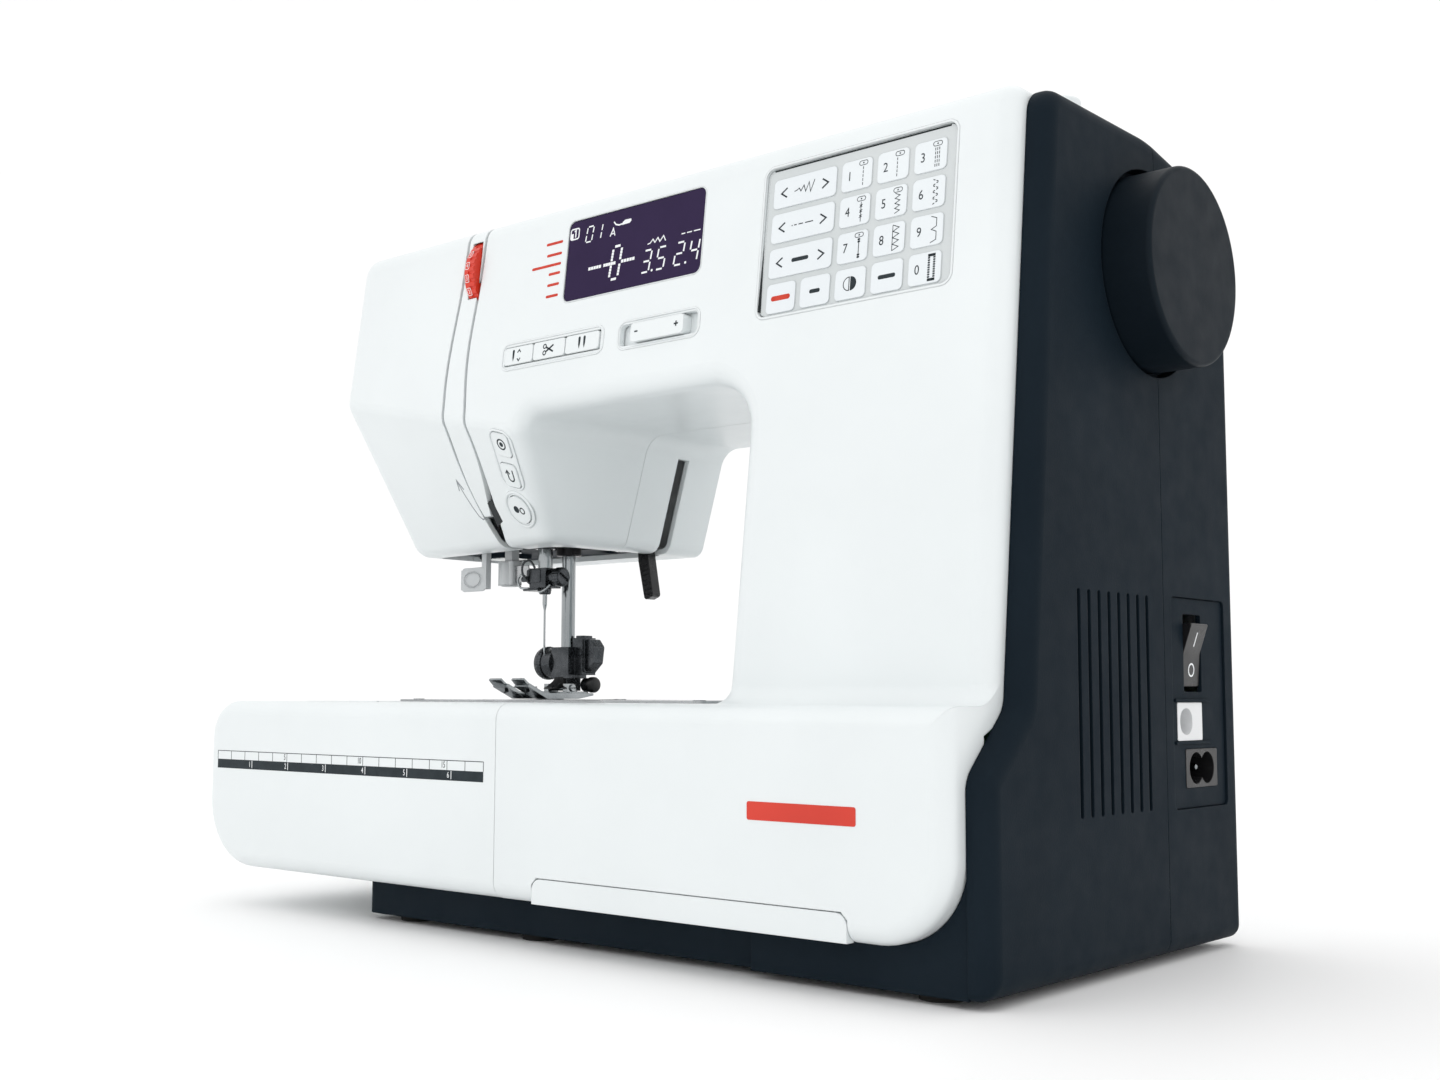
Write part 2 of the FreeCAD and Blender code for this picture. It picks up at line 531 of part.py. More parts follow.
lower_shaft = fused([cyl(-71, HOOK_Y, LOWER_Z, 4.0, 162, (1, 0, 0)),
                     Part.makeCone(9.0, 5.5, 4.0, V(-76, HOOK_Y, LOWER_Z), V(1, 0, 0)),
                     cyl(-72, HOOK_Y, LOWER_Z, 5.5, 3, (1, 0, 0)),
                     cyl(80, HOOK_Y, LOWER_Z, 12.0, 7, (1, 0, 0))])

# ---- main shaft, belts, motor ----
main_shaft = fused([cyl(-66, SHAFT_Y, SHAFT_Z, SHAFT_R, 250, (1, 0, 0)),
                    cyl(80, SHAFT_Y, SHAFT_Z, 12.0, 7, (1, 0, 0))])
crank = fused([cyl(-72, SHAFT_Y, SHAFT_Z, 17.0, 6, (1, 0, 0)),
               cyl(-77, SHAFT_Y, SHAFT_Z + 14, 2.5, 6, (1, 0, 0))])
main_shaft = fused([main_shaft, crank, cyl(147, SHAFT_Y, SHAFT_Z, 26.0, 7, (1, 0, 0))])
MOTOR_Y = -10.0
MOTOR_Z = 120.0
drive_motor = fused([cyl(96, MOTOR_Y, MOTOR_Z, 24.0, 46, (1, 0, 0)),
                     cyl(142, MOTOR_Y, MOTOR_Z, 8.0, 3, (1, 0, 0))])
drive_motor = drive_motor.cut(cyl(90, MOTOR_Y, MOTOR_Z, 3.05, 80, (1, 0, 0)))
motor_pulley = fused([cyl(100, MOTOR_Y, MOTOR_Z, 3.0, 56, (1, 0, 0)),
                      cyl(147, MOTOR_Y, MOTOR_Z, 6.0, 7, (1, 0, 0))])
motor_belt = belt(147.5, 153.5, SHAFT_Y, SHAFT_Z, 26.3, MOTOR_Y, MOTOR_Z, 6.3, 1.6)
timing_belt = belt(80.5, 86.5, SHAFT_Y, SHAFT_Z, 12.3, HOOK_Y, LOWER_Z, 12.3, 1.6)
wheel = cyl(177.6, SHAFT_Y, SHAFT_Z, WHEEL_R, HALF_LENGTH - 177.6, (1, 0, 0))
wheel_edge = [e for e in wheel.Edges if abs(e.CenterOfMass.x - HALF_LENGTH) < 0.01]
wheel = wheel.makeFillet(1.6, wheel_edge)
wheel = wheel.cut(cyl(170, SHAFT_Y, SHAFT_Z, WHEEL_R - 3.0, 22, (1, 0, 0))
                  .cut(cyl(160, SHAFT_Y, SHAFT_Z, 12.0, 40, (1, 0, 0))))
handwheel = wheel.cut(cyl(170, SHAFT_Y, SHAFT_Z, SHAFT_R, 14, (1, 0, 0)))

# ---- cast frame ----
LIFT_X = -84.0
LIFT_Z = 168.0
TAKE_Y = 10.0
TAKE_Z = 226.0
frame_parts = [box(-120, 168, 58, 62, 205, 262), box(96, 168, 58, 62, 130, 262),
               box(96, 158, 58, 62, 20, 131),
               box(-130, 168, 30, 36, 38, 58), box(96, 168, 30, 62, 38, 46),
               box(92, 96, -36, 62, 94, 146), box(96, 100, 52, 62, 94, 146),
               box(-96.5, -90.5, 22, 60, 206, 214), box(-96.5, -90.5, 22, 60, 240, 248),
               box(-96.5, -79.5, 9, 23, 206, 214), box(-96.5, -79.5, 9, 23, 240, 248),
               box(-100, -76, -30, 36, 56.6, 59.2), box(-92, -84, 4.5, 32, 56.6, 59.2)]
for x0, x1 in LEG_X:
    frame_parts.append(box(x0, x1, 36, 62, 5, 42))
for x in (-50, 62, 160):
    frame_parts.append(box(x, x + 6, 17, 60, 217, 243))
for x in (-60, 66):
    frame_parts.append(box(x, x + 6, -28, 34, 38, 54))
frame_parts.append(dial_axle)
frame_parts.append(fused([cyl(LIFT_X, 30, LIFT_Z, 2.0, 28, (0, 1, 0)), box(-88, -80, 55, 58, 160, 210)]))
frame_parts.append(fused([cyl(-84.6, TAKE_Y, TAKE_Z, 2.0, 7.0, (1, 0, 0)),
                          box(-79.4, -77.6, 6, 58, 222, 230)]))
cast_frame = fused(frame_parts)
cast_frame = cast_frame.cut(cyl(-90, SHAFT_Y, SHAFT_Z, SHAFT_R + 0.1, 290, (1, 0, 0)))
cast_frame = cast_frame.cut(cyl(-90, HOOK_Y, LOWER_Z, 4.1, 290, (1, 0, 0)))
cast_frame = cast_frame.cut(cyl(NEEDLE_X, PRESSER_Y, 200, 3.05, 60, (0, 0, 1)))
cast_frame = cast_frame.cut(cyl(NEEDLE_X, HOOK_Y, 50, 3.05, 20, (0, 0, 1)))
cast_frame = cast_frame.cut(cyl(90, MOTOR_Y, MOTOR_Z, 6, 8, (1, 0, 0)))
power_board = fused([box(104, 156, -60, -10, 60, 61.6), box(112, 134, -52, -30, 61.6, 82),
                     cyl(146, -24, 61.6, 6, 18, (0, 0, 1))])
circuit_boards = Part.makeCompound([main_board, power_board, lcd_module])
drive_belts = Part.makeCompound([motor_belt, timing_belt])

# ---- needle area ----
needle_bar_frame = fused([box(-94, -80, -4, 8, 170, 178), box(-94, -80, -4, 8, 249, 258),
                          box(-81.5, -78.5, -4, 5.2, 170, 258),
                          cyl(NEEDLE_X, -4, SWING_Z, 5.0, 12, (0, 1, 0))])
needle_bar_frame = needle_bar_frame.cut(cyl(NEEDLE_X, NEEDLE_Y, 160, 3.25, 110, (0, 0, 1)))
needle_bar = cyl(NEEDLE_X, NEEDLE_Y, CLAMP_TOP, 3.2, BAR_TOP - CLAMP_TOP, (0, 0, 1))
needle_clamp = fused([box(-93, -83, -2.5, 6.5, CLAMP_Z, CLAMP_TOP),
                      cyl(-83, NEEDLE_Y, CLAMP_Z + 4.5, 3.6, 5.0, (1, 0, 0)),
                      cyl(-93, -2.5, CLAMP_Z + 4, 1.2, 4, (-1, 0, 0))])
needle_clamp = needle_clamp.cut(cyl(NEEDLE_X, NEEDLE_Y, CLAMP_Z - 0.5, 1.0, 6.0, (0, 0, 1)))
needle = fused([cyl(NEEDLE_X, NEEDLE_Y, NEEDLE_TIP + 22, 1.0, 12.5, (0, 0, 1)),
                Part.makeCone(0.45, 1.0, 2.5, V(NEEDLE_X, NEEDLE_Y, NEEDLE_TIP + 19.5), V(0, 0, 1)),
                cyl(NEEDLE_X, NEEDLE_Y, NEEDLE_TIP + 3, 0.45, 16.5, (0, 0, 1)),
                Part.makeCone(0.05, 0.45, 3.0, V(NEEDLE_X, NEEDLE_Y, NEEDLE_TIP), V(0, 0, 1))])
eye = box(-89, -87, NEEDLE_Y - 0.14, NEEDLE_Y + 0.14, NEEDLE_TIP + 3.4, NEEDLE_TIP + 4.6)
needle = needle.cut(eye)
presser_bar = cyl(NEEDLE_X, PRESSER_Y, 108, 3.0, 150, (0, 0, 1))
presser_bar = presser_bar.fuse(cyl(NEEDLE_X, PRESSER_Y, 222, 3.8, 8, (0, 0, 1)))
foot_shank = fused([box(-93, -82.5, 11, 22, 94.5, 108), box(-91.5, -84.5, 12, 20.5, 89.2, 96),
                    box(-84, -78, 15, 23, 96, 112), cyl(-82, 21.0, 91.8, 3.0, 5, (1, 0, 0))])
finger = [(-78, 97), (-73.5, 101, 1), (-72.5, 108, 1.5), (-75.5, 111.5, 1.5), (-78, 111)]
foot_shank = foot_shank.fuse(prism_y(finger, 17, 23))
foot_shank = foot_shank.cut(cyl(-100, 12.0, 90.4, 1.1, 30, (1, 0, 0)))
foot_screw = fused([cyl(-93, PRESSER_Y, 101.3, 6.6, 9.5, (-1, 0, 0)),
                    cyl(-93, PRESSER_Y, 101.3, 4.4, 11.5, (-1, 0, 0))])
sole = prism_x([(-17.2, 90.8, 0.5), (-16.2, 92.2, 0.5), (-7.5, 88.2), (21, 88.2), (21, 87.2),
                (12, 85.75), (-6, 85.75)], -99, -77)
sole = sole.cut(box(-90.5, -85.5, -30, -1.5, 80, 95))
sole = sole.cut(prism_z(rect(-92.8, -83.2, -2.2, 5.2, 1.5), 80, 95))
presser_foot = fused([sole, box(-95.2, -92.6, 9.0, 15.0, 88.0, 92.2),
                      box(-83.4, -80.8, 9.0, 15.0, 88.0, 92.2),
                      cyl(-95, 12.0, 90.4, 1.0, 14, (1, 0, 0))])
head_plate = prism_z([(-152.6, -3.4, 5), (-66.6, -11.2, 9), (-62.6, 49.6, 5), (-152.6, 49.6, 5)],
                     151.4, 152.8)
head_plate = head_plate.cut(box(-101, -74, -6, 25, 140, 160))
head_plate = head_plate.cut(box(-123, -112, -14, 1, 140, 160))
head_plate = head_plate.cut(box(-113, -103, -4, 8, 140, 160))
head_plate = head_plate.cut(box(-92, -50, 36.5, 45.5, 140, 160))
head_plate = head_plate.fuse(prism_z(rect(-146, -126, 14, 30, 2), 149.4, 151.5))
buttonhole_lever = fused([box(-134, -117.2, -6.0, -3.6, 133.6, 142.4),
                          box(-120.2, -117.2, -6.0, -3.2, 133.6, 176)])
needle_threader = fused([prism_z(rect(-114.2, -104.4, -2.4, 4.2, 1.5), 135, 145.5),
                         box(-110.4, -106, -1.2, 3, 145, 180), box(-105, -96.4, 0.6, 2.0, 137, 142)])
presser_lifter = fused([cyl(LIFT_X, 38.6, LIFT_Z, 5.0, 4.8, (0, 1, 0)),
                        prism_y([(-87, 165), (-81, 172), (-63, 154, 2), (-61.5, 146, 2), (-58.6, 130.5, 1.5),
                                 (-63.6, 128.6, 1.5), (-67.6, 146, 2), (-68, 151, 2)], 38.6, 43.4)])
presser_lifter = presser_lifter.cut(cyl(LIFT_X, 30, LIFT_Z, 2.05, 20, (0, 1, 0)))
take_up_lever = prism_x([(14, 221), (14, 231), (-34, 264, 1), (-40, 266, 1), (-41, 260, 1), (-30, 256)],
                        *LEVER_X)
take_up_lever = take_up_lever.cut(cyl(-90, TAKE_Y, TAKE_Z, 2.05, 10, (1, 0, 0)))

# ---- top: spool tray, handle, winder ----
top_plate = prism_z(rect(TRAY_X0 + 0.3, TRAY_X1 - 0.3, -27.7, 57.7, 10), 276.6, TOP_Z)
spool_out = prism_z(rect(-62, 64, -25, 15, 8), 262.6, 278)
handle_out = prism_z(rect(-44, 106, 21, 56, 6), 264.6, 278)
top_cover = fused([top_plate, spool_out, handle_out])
top_cover = top_cover.cut(prism_z(rect(-59.8, 61.8, -22.8, 12.8, 6), 264.8, 290))
top_cover = top_cover.cut(prism_z(rect(-41.8, 103.8, 23.2, 53.8, 1.5), 266.8, 290))
spool_pin = fused([cyl(-59.8, -5, 277.5, 2.9, 100, (1, 0, 0)), cyl(-59.8, -5, 277.5, 6.0, 3, (1, 0, 0))])
spool_pin = spool_pin.common(box(-100, 100, -40, 40, 264, 290))
spool_cap = fused([cyl(28, -5, 277.5, 11.0, 2.0, (1, 0, 0)), cyl(30, -5, 277.5, 5.0, 6, (1, 0, 0))])
spool_cap = spool_cap.cut(cyl(20, -5, 277.5, 2.95, 30, (1, 0, 0)))
HINGE_Y = 29.0
HINGE_Z = 273.0
arm_outline = [(24.6, 268.4, 3), (24.6, 277.4, 3), (52.6, 279.6, 2), (52.6, 271.5, 2)]
grip_outline = [(43.5, 271.6, 2), (43.5, 279.6, 3), (52.6, 279.6, 3), (52.6, 271.5, 2)]
handle_arms = [prism_x(arm_outline, x, x + 7) for x in (-40.5, 95.5)]
carrying_handle = fused(handle_arms + [prism_x(grip_outline, -40.5, 102.5)])
carrying_handle = carrying_handle.cut(cyl(-45, HINGE_Y, HINGE_Z, 2.05, 160, (1, 0, 0)))
top_cover = fused([top_cover, cyl(-42, HINGE_Y, HINGE_Z, 2.0, 8, (1, 0, 0)),
                   cyl(96, HINGE_Y, HINGE_Z, 2.0, 8, (1, 0, 0))])
WINDER = (132.0, 0.0)
top_cover = top_cover.cut(cyl(WINDER[0], WINDER[1], 270, 3.05, 20, (0, 0, 1)))
winder_spindle = fused([cyl(WINDER[0], WINDER[1], 268, 3.0, 21, (0, 0, 1)),
                        cyl(WINDER[0], WINDER[1], 279.3, 7.0, 1.6, (0, 0, 1)),
                        cyl(WINDER[0], WINDER[1], 270, 8.0, 3, (0, 0, 1))])
winder_stop = cyl(158, 12, TOP_Z, 6.5, 13.0, (0, 0, 1))
stop_rim = [edge for edge in winder_stop.Edges if abs(edge.CenterOfMass.z - 292) < 0.01]
winder_stop = winder_stop.makeFillet(1.4, stop_rim)

# ---- the separate pieces by name ----
nodes = {
    "front_cover": front_cover, "face_cover": face_cover, "channel_strip": channel_strip,
    "rear_cover": rear_cover, "side_cover_front": side_cover_front, "side_cover_rear": side_cover_rear,
    "socket_panel": socket_panel, "pedal_socket": pedal_socket, "mains_inlet": mains_inlet,
    "rocker_switch": rocker_switch, "base_pan": base_pan, "rubber_feet": rubber_feet,
    "chart_tray": chart_tray, "accessory_box": accessory_box, "box_lid": box_lid,
    "free_arm_cover": free_arm_cover, "bed_plate": bed_plate, "needle_plate": needle_plate,
    "bobbin_cover": bobbin_cover, "lcd_window": lcd_window, "keypad": keypad,
    "circuit_boards": circuit_boards, "button_needle": button_nodes[0], "button_cut": button_nodes[1],
    "button_twin": button_nodes[2], "speed_slider": speed_slider, "lock_button": lock_button,
    "reverse_button": reverse_button, "start_button": start_button, "tension_dial": tension_dial,
    "handwheel": handwheel, "main_shaft": main_shaft, "drive_motor": drive_motor,
    "motor_pulley": motor_pulley, "drive_belts": drive_belts, "lower_shaft": lower_shaft,
    "hook": hook, "bobbin_case": bobbin_case, "bobbin": bobbin, "feed_dog": feed_dog,
    "cast_frame": cast_frame, "needle_bar_frame": needle_bar_frame, "needle_bar": needle_bar,
    "needle_clamp": needle_clamp, "needle": needle, "presser_bar": presser_bar,
    "foot_shank": foot_shank, "foot_screw": foot_screw, "presser_foot": presser_foot,
    "head_plate": head_plate,
    "buttonhole_lever": buttonhole_lever, "needle_threader": needle_threader,
    "presser_lifter": presser_lifter, "take_up_lever": take_up_lever, "top_cover": top_cover,
    "carrying_handle": carrying_handle, "spool_pin": spool_pin, "spool_cap": spool_cap,
    "winder_spindle": winder_spindle, "winder_stop": winder_stop,
}
for name, shape in nodes.items():
    save(name, shape)
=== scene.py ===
import json
import math

import bmesh
import bpy
from mathutils import Matrix, Vector
from mathutils.bvhtree import BVHTree


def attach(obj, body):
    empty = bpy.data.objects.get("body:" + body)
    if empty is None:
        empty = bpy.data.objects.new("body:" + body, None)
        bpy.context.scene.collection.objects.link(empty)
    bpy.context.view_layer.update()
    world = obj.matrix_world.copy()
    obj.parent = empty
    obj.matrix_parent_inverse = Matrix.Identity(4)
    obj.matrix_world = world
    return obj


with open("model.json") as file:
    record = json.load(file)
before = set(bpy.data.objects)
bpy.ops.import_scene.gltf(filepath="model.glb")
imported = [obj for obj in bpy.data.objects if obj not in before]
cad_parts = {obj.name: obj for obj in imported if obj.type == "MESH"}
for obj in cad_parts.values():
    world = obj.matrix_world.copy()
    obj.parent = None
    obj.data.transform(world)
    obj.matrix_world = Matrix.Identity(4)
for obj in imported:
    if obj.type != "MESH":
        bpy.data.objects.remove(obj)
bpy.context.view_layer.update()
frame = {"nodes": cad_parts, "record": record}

# Household sewing machine: finishes, printed marks, painted shade marks and small fittings on the imported
# model.
# Lengths are millimetres in the machine's own frame, +Z up, unless a comment says metres.
MM = 0.001
NODES = frame["nodes"]
UP, DOWN = (0, 0, 1), (0, 0, -1)
RIGHT, LEFT = (1, 0, 0), (-1, 0, 0)
BACK, FRONT = (0, 1, 0), (0, -1, 0)
INK = 0.05          # how far a printed mark or a painted-shade patch stands out
FINE_INK = 0.02
SINK = 0.12         # how far a mark reaches below the surface
LEAN = 0.113        # the front leans back by this much for each unit of height
LEAN_OUT = Vector((0.0, -1.0, LEAN)).normalized()


def point(x, y, z):
    return Vector((x, y, z)) * MM


def front_y(z):
    return -68.0 + LEAN * (z - 85.0)


# Three corners of the head's sloping front.
SLOPE_A = Vector((-161.0, -53.5, 213.7))
SLOPE_B = Vector((-50.0, -55.8, 191.0))
SLOPE_C = Vector((-161.0, -10.6, 149.6))
SLOPE_OUT = (SLOPE_B - SLOPE_A).cross(SLOPE_C - SLOPE_A).normalized()
if SLOPE_OUT.y > 0:
    SLOPE_OUT.negate()


def slope_point(x, z):
    """Point of the head's sloping front, where x and z are given."""
    y = SLOPE_A.y - (SLOPE_OUT.x * (x - SLOPE_A.x) + SLOPE_OUT.z * (z - SLOPE_A.z)) / SLOPE_OUT.y
    return Vector((x, y, z))


# ---- materials ----
def noise(tree, vector, scale, detail=2.0):
    node = tree.nodes.new("ShaderNodeTexNoise")
    node.inputs["Scale"].default_value = scale
    node.inputs["Detail"].default_value = detail
    tree.links.new(vector.outputs["Vector"], node.inputs["Vector"])
    return node


def surface(name, dark, light, rough, spread=0.06, metallic=0.0, specular=0.5, blotch=16.0,
            grain=2200.0, grain_mm=0.02, edge=0.25, stretch=(1.0, 1.0, 1.0)):
    """Procedural finish: colour drifts dark to light, roughness varies, with fine grain and soft edges."""
    mat = bpy.data.materials.new(name)
    mat.use_nodes = True
    tree = mat.node_tree
    shader = tree.nodes["Principled BSDF"]
    shader.inputs["Metallic"].default_value = metallic
    shader.inputs["Specular IOR Level"].default_value = specular
    coord = tree.nodes.new("ShaderNodeTexCoord")
    mapping = tree.nodes.new("ShaderNodeMapping")
    mapping.inputs["Scale"].default_value = stretch
    tree.links.new(coord.outputs["Object"], mapping.inputs["Vector"])
    drift = noise(tree, mapping, blotch, 4.0)
    ramp = tree.nodes.new("ShaderNodeValToRGB")
    ramp.color_ramp.elements[0].position = 0.36
    ramp.color_ramp.elements[0].color = (*dark, 1.0)
    ramp.color_ramp.elements[1].position = 0.64
    ramp.color_ramp.elements[1].color = (*light, 1.0)
    tree.links.new(drift.outputs["Fac"], ramp.inputs["Fac"])
    tree.links.new(ramp.outputs["Color"], shader.inputs["Base Color"])
    wear = noise(tree, mapping, blotch * 7.0, 3.0)
    span = tree.nodes.new("ShaderNodeMapRange")
    span.inputs["From Min"].default_value = 0.3
    span.inputs["From Max"].default_value = 0.7
    span.inputs["To Min"].default_value = max(0.02, rough - spread)
    span.inputs["To Max"].default_value = rough + spread
    tree.links.new(wear.outputs["Fac"], span.inputs["Value"])
    tree.links.new(span.outputs["Result"], shader.inputs["Roughness"])
    fine = noise(tree, mapping, grain, 2.0)
    bump = tree.nodes.new("ShaderNodeBump")
    bump.inputs["Strength"].default_value = 1.0
    bump.inputs["Distance"].default_value = grain_mm * MM
    tree.links.new(fine.outputs["Fac"], bump.inputs["Height"])
    if edge:
        soft = tree.nodes.new("ShaderNodeBevel")
        soft.samples = 4
        soft.inputs["Radius"].default_value = edge * MM
        tree.links.new(soft.outputs["Normal"], bump.inputs["Normal"])
    tree.links.new(bump.outputs["Normal"], shader.inputs["Normal"])
    return mat, shader


def white_plastic():
    mat, shader = surface("white_plastic", (0.77, 0.808, 0.815), (0.795, 0.833, 0.84), 0.34, grain=2600,
                          grain_mm=0.006, edge=0.5)
    shader.inputs["Coat Weight"].default_value = 0.15
    shader.inputs["Coat Roughness"].default_value = 0.2
    return mat


def charcoal_plastic():
    return surface("charcoal_plastic", (0.0070, 0.0130, 0.0195), (0.0090, 0.0158, 0.0230), 0.55, 0.05,
                   specular=0.05, grain=1500, grain_mm=0.045, edge=0.5)[0]


# Painted shade: a darker copy of the charcoal finish for the handwheel and its edge, to look shaded.
def wheel_plastic():
    return surface("wheel_plastic", (0.0055, 0.0100, 0.0150), (0.0075, 0.0125, 0.0180), 0.48, 0.05,
                   specular=0.07, grain=1900, grain_mm=0.03, edge=0.6)[0]


def black_plastic():
    return surface("black_plastic", (0.008, 0.008, 0.009), (0.013, 0.013, 0.014), 0.32, 0.08, specular=0.4,
                   grain=1800, grain_mm=0.02, edge=0.4)[0]


def rubber():
    return surface("foot_rubber", (0.012, 0.012, 0.012), (0.022, 0.021, 0.02), 0.8, 0.1, specular=0.25,
                   grain=900, grain_mm=0.06)[0]


def pale_plastic():
    return surface("pale_grey_plastic", (0.50, 0.52, 0.53), (0.55, 0.57, 0.58), 0.38, grain=2200,
                   grain_mm=0.012, edge=0.4)[0]


def film_plastic():
    return surface("keypad_film", (0.585, 0.62, 0.625), (0.625, 0.655, 0.66), 0.42, grain=3000,
                   grain_mm=0.01)[0]


def key_plastic():
    return surface("key_caps", (0.76, 0.80, 0.825), (0.79, 0.83, 0.85), 0.46, grain=3000, grain_mm=0.012)[0]


def socket_white():
    return surface("socket_white", (0.74, 0.75, 0.76), (0.79, 0.80, 0.81), 0.36, grain=2400, grain_mm=0.01)[0]


def red_plastic():
    return surface("red_plastic", (0.60, 0.028, 0.010), (0.68, 0.036, 0.014), 0.36, grain=2400,
                   grain_mm=0.01, edge=0.15)[0]


def display_plastic():
    return surface("display_window", (0.0235, 0.0125, 0.0490), (0.0265, 0.0145, 0.0545), 0.2, 0.03,
                   specular=0.08, blotch=30, grain=3400, grain_mm=0.003, edge=0.2)[0]


def smoke_plastic():
    mat, shader = surface("smoked_clear", (0.26, 0.28, 0.30), (0.32, 0.34, 0.36), 0.09, 0.03, blotch=30,
                          grain=900, grain_mm=0.004)
    shader.inputs["Transmission Weight"].default_value = 0.72
    shader.inputs["IOR"].default_value = 1.46
    return mat


def clear_plastic():
    mat, shader = surface("clear_plastic", (0.78, 0.81, 0.84), (0.84, 0.87, 0.9), 0.1, 0.03, grain=900,
                          grain_mm=0.004)
    shader.inputs["Transmission Weight"].default_value = 0.6
    return mat


def brushed_plate():
    return surface("brushed_plate", (0.40, 0.41, 0.42), (0.50, 0.51, 0.52), 0.3, 0.08, metallic=1.0,
                   blotch=40, grain=420, grain_mm=0.02, edge=0.2, stretch=(1.0, 14.0, 1.0))[0]


def chrome():
    return surface("chrome", (0.27, 0.29, 0.30), (0.38, 0.40, 0.41), 0.14, 0.05, metallic=1.0, blotch=60,
                   grain=700, grain_mm=0.004, edge=0.2, stretch=(1.0, 1.0, 0.2))[0]


def dark_metal():
    return surface("blackened_steel", (0.045, 0.05, 0.055), (0.085, 0.09, 0.097), 0.26, 0.08, metallic=0.9,
                   blotch=120, grain=900, grain_mm=0.01, edge=0.3)[0]


def cast_metal():
    return surface("cast_metal", (0.36, 0.37, 0.38), (0.48, 0.49, 0.50), 0.55, 0.1, metallic=0.85, blotch=40,
                   grain=500, grain_mm=0.12)[0]


def board_green():
    return surface("board_green", (0.02, 0.13, 0.05), (0.035, 0.2, 0.08), 0.35, 0.1, blotch=160, grain=800,
                   grain_mm=0.03)[0]


def belt_rubber():
    return surface("belt_rubber", (0.014, 0.014, 0.015), (0.026, 0.026, 0.027), 0.65, 0.1, specular=0.25,
                   grain=1100, grain_mm=0.08)[0]


def case_plastic():
    return surface("case_black", (0.02, 0.02, 0.022), (0.035, 0.035, 0.038), 0.35, 0.08, grain=1500,
                   grain_mm=0.02)[0]


# Flat finish for printed marks; one copy also serves as painted shade.
def ink(name, dark, light):
    return surface(name, dark, light, 0.5, 0.08, specular=0.12, blotch=260, grain=3200, grain_mm=0.008,
                   edge=0.0)[0]


def lamp_lens():
    mat, shader = surface("lamp_lens", (0.80, 0.82, 0.80), (0.88, 0.90, 0.87), 0.2, grain=700, grain_mm=0.05)
    shader.inputs["Transmission Weight"].default_value = 0.35
    return mat


WHITE = white_plastic()
CHARCOAL = charcoal_plastic()
WHEEL_PAINTED_SHADE = wheel_plastic()
BLACK = black_plastic()
PALE = pale_plastic()
RED = red_plastic()
CHROME = chrome()
DARK_METAL = dark_metal()
PLATE = brushed_plate()
KEY = key_plastic()
INK_DARK = ink("ink_dark", (0.020, 0.028, 0.033), (0.028, 0.037, 0.043))
INK_GREY = ink("ink_grey", (0.26, 0.28, 0.30), (0.32, 0.34, 0.36))
INK_WHITE = ink("ink_white", (0.82, 0.84, 0.86), (0.9, 0.92, 0.93))
INK_RED = ink("ink_red", (0.56, 0.05, 0.03), (0.62, 0.065, 0.04))
# Dark ink for the printed needle plate lines and bed numbers, also used as painted shade along the keypad
# recess edge and in the thread opening.
PRINT_AND_PAINTED_SHADE = ink("print_and_painted_shade_ink", (0.02, 0.024, 0.026), (0.035, 0.04, 0.043))
FINISHES = {
    "white": WHITE, "dark": CHARCOAL, "rubber": rubber(), "black": BLACK, "pale_grey": PALE, "red": RED,
    "lcd": display_plastic(), "smoke": smoke_plastic(), "plate_metal": PLATE, "chrome": CHROME,
    "dark_metal": DARK_METAL, "cast": cast_metal(), "board": board_green(), "belt": belt_rubber(),
    "case": case_plastic(), "clear": clear_plastic(),
}
SPECIAL = {
    "handwheel": WHEEL_PAINTED_SHADE, "keypad": film_plastic(), "pedal_socket": socket_white(), "needle_clamp": DARK_METAL,
}


def dress_nodes():
    """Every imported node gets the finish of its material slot."""
    for part in frame["record"]["subparts"]:
        obj = NODES[part["node"]]
        obj.data.materials.clear()
        obj.data.materials.append(SPECIAL.get(part["node"], FINISHES[part["material_slot"]]))


# ---- mesh helpers ----
def finish_piece(name, bm, material, body, slot, crease=32.0):
    """Turns a bmesh in metres into a named piece that rides on a body."""
    bmesh.ops.recalc_face_normals(bm, faces=bm.faces)
    mesh = bpy.data.meshes.new(name)
    bm.to_mesh(mesh)
    bm.free()
    for face in mesh.polygons:
        face.use_smooth = True
    mesh.set_sharp_from_angle(angle=math.radians(crease))
    mesh.materials.append(material)
    obj = bpy.data.objects.new(name, mesh)
    bpy.context.scene.collection.objects.link(obj)
    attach(obj, body)
    return obj


def rounded(u0, u1, v0, v1, r, steps=6):
    """Closed outline of a rectangle with round corners."""
    r = min(r, (u1 - u0) / 2 - 1e-4, (v1 - v0) / 2 - 1e-4)
    outline = []
    corners = ((u1 - r, v1 - r), (u0 + r, v1 - r), (u0 + r, v0 + r), (u1 - r, v0 + r))
    for quarter, (cu, cv) in enumerate(corners):
        for k in range(steps + 1):
            a = math.radians(90.0 * quarter + 90.0 * k / steps)
            outline.append((cu + r * math.cos(a), cv + r * math.sin(a)))
    return outline


def circle(u, v, r, steps=28, start=0.0, sweep=360.0):
    count = steps if sweep >= 360 else steps + 1
    return [(u + r * math.cos(math.radians(start + sweep * k / steps)),
             v + r * math.sin(math.radians(start + sweep * k / steps))) for k in range(count)]


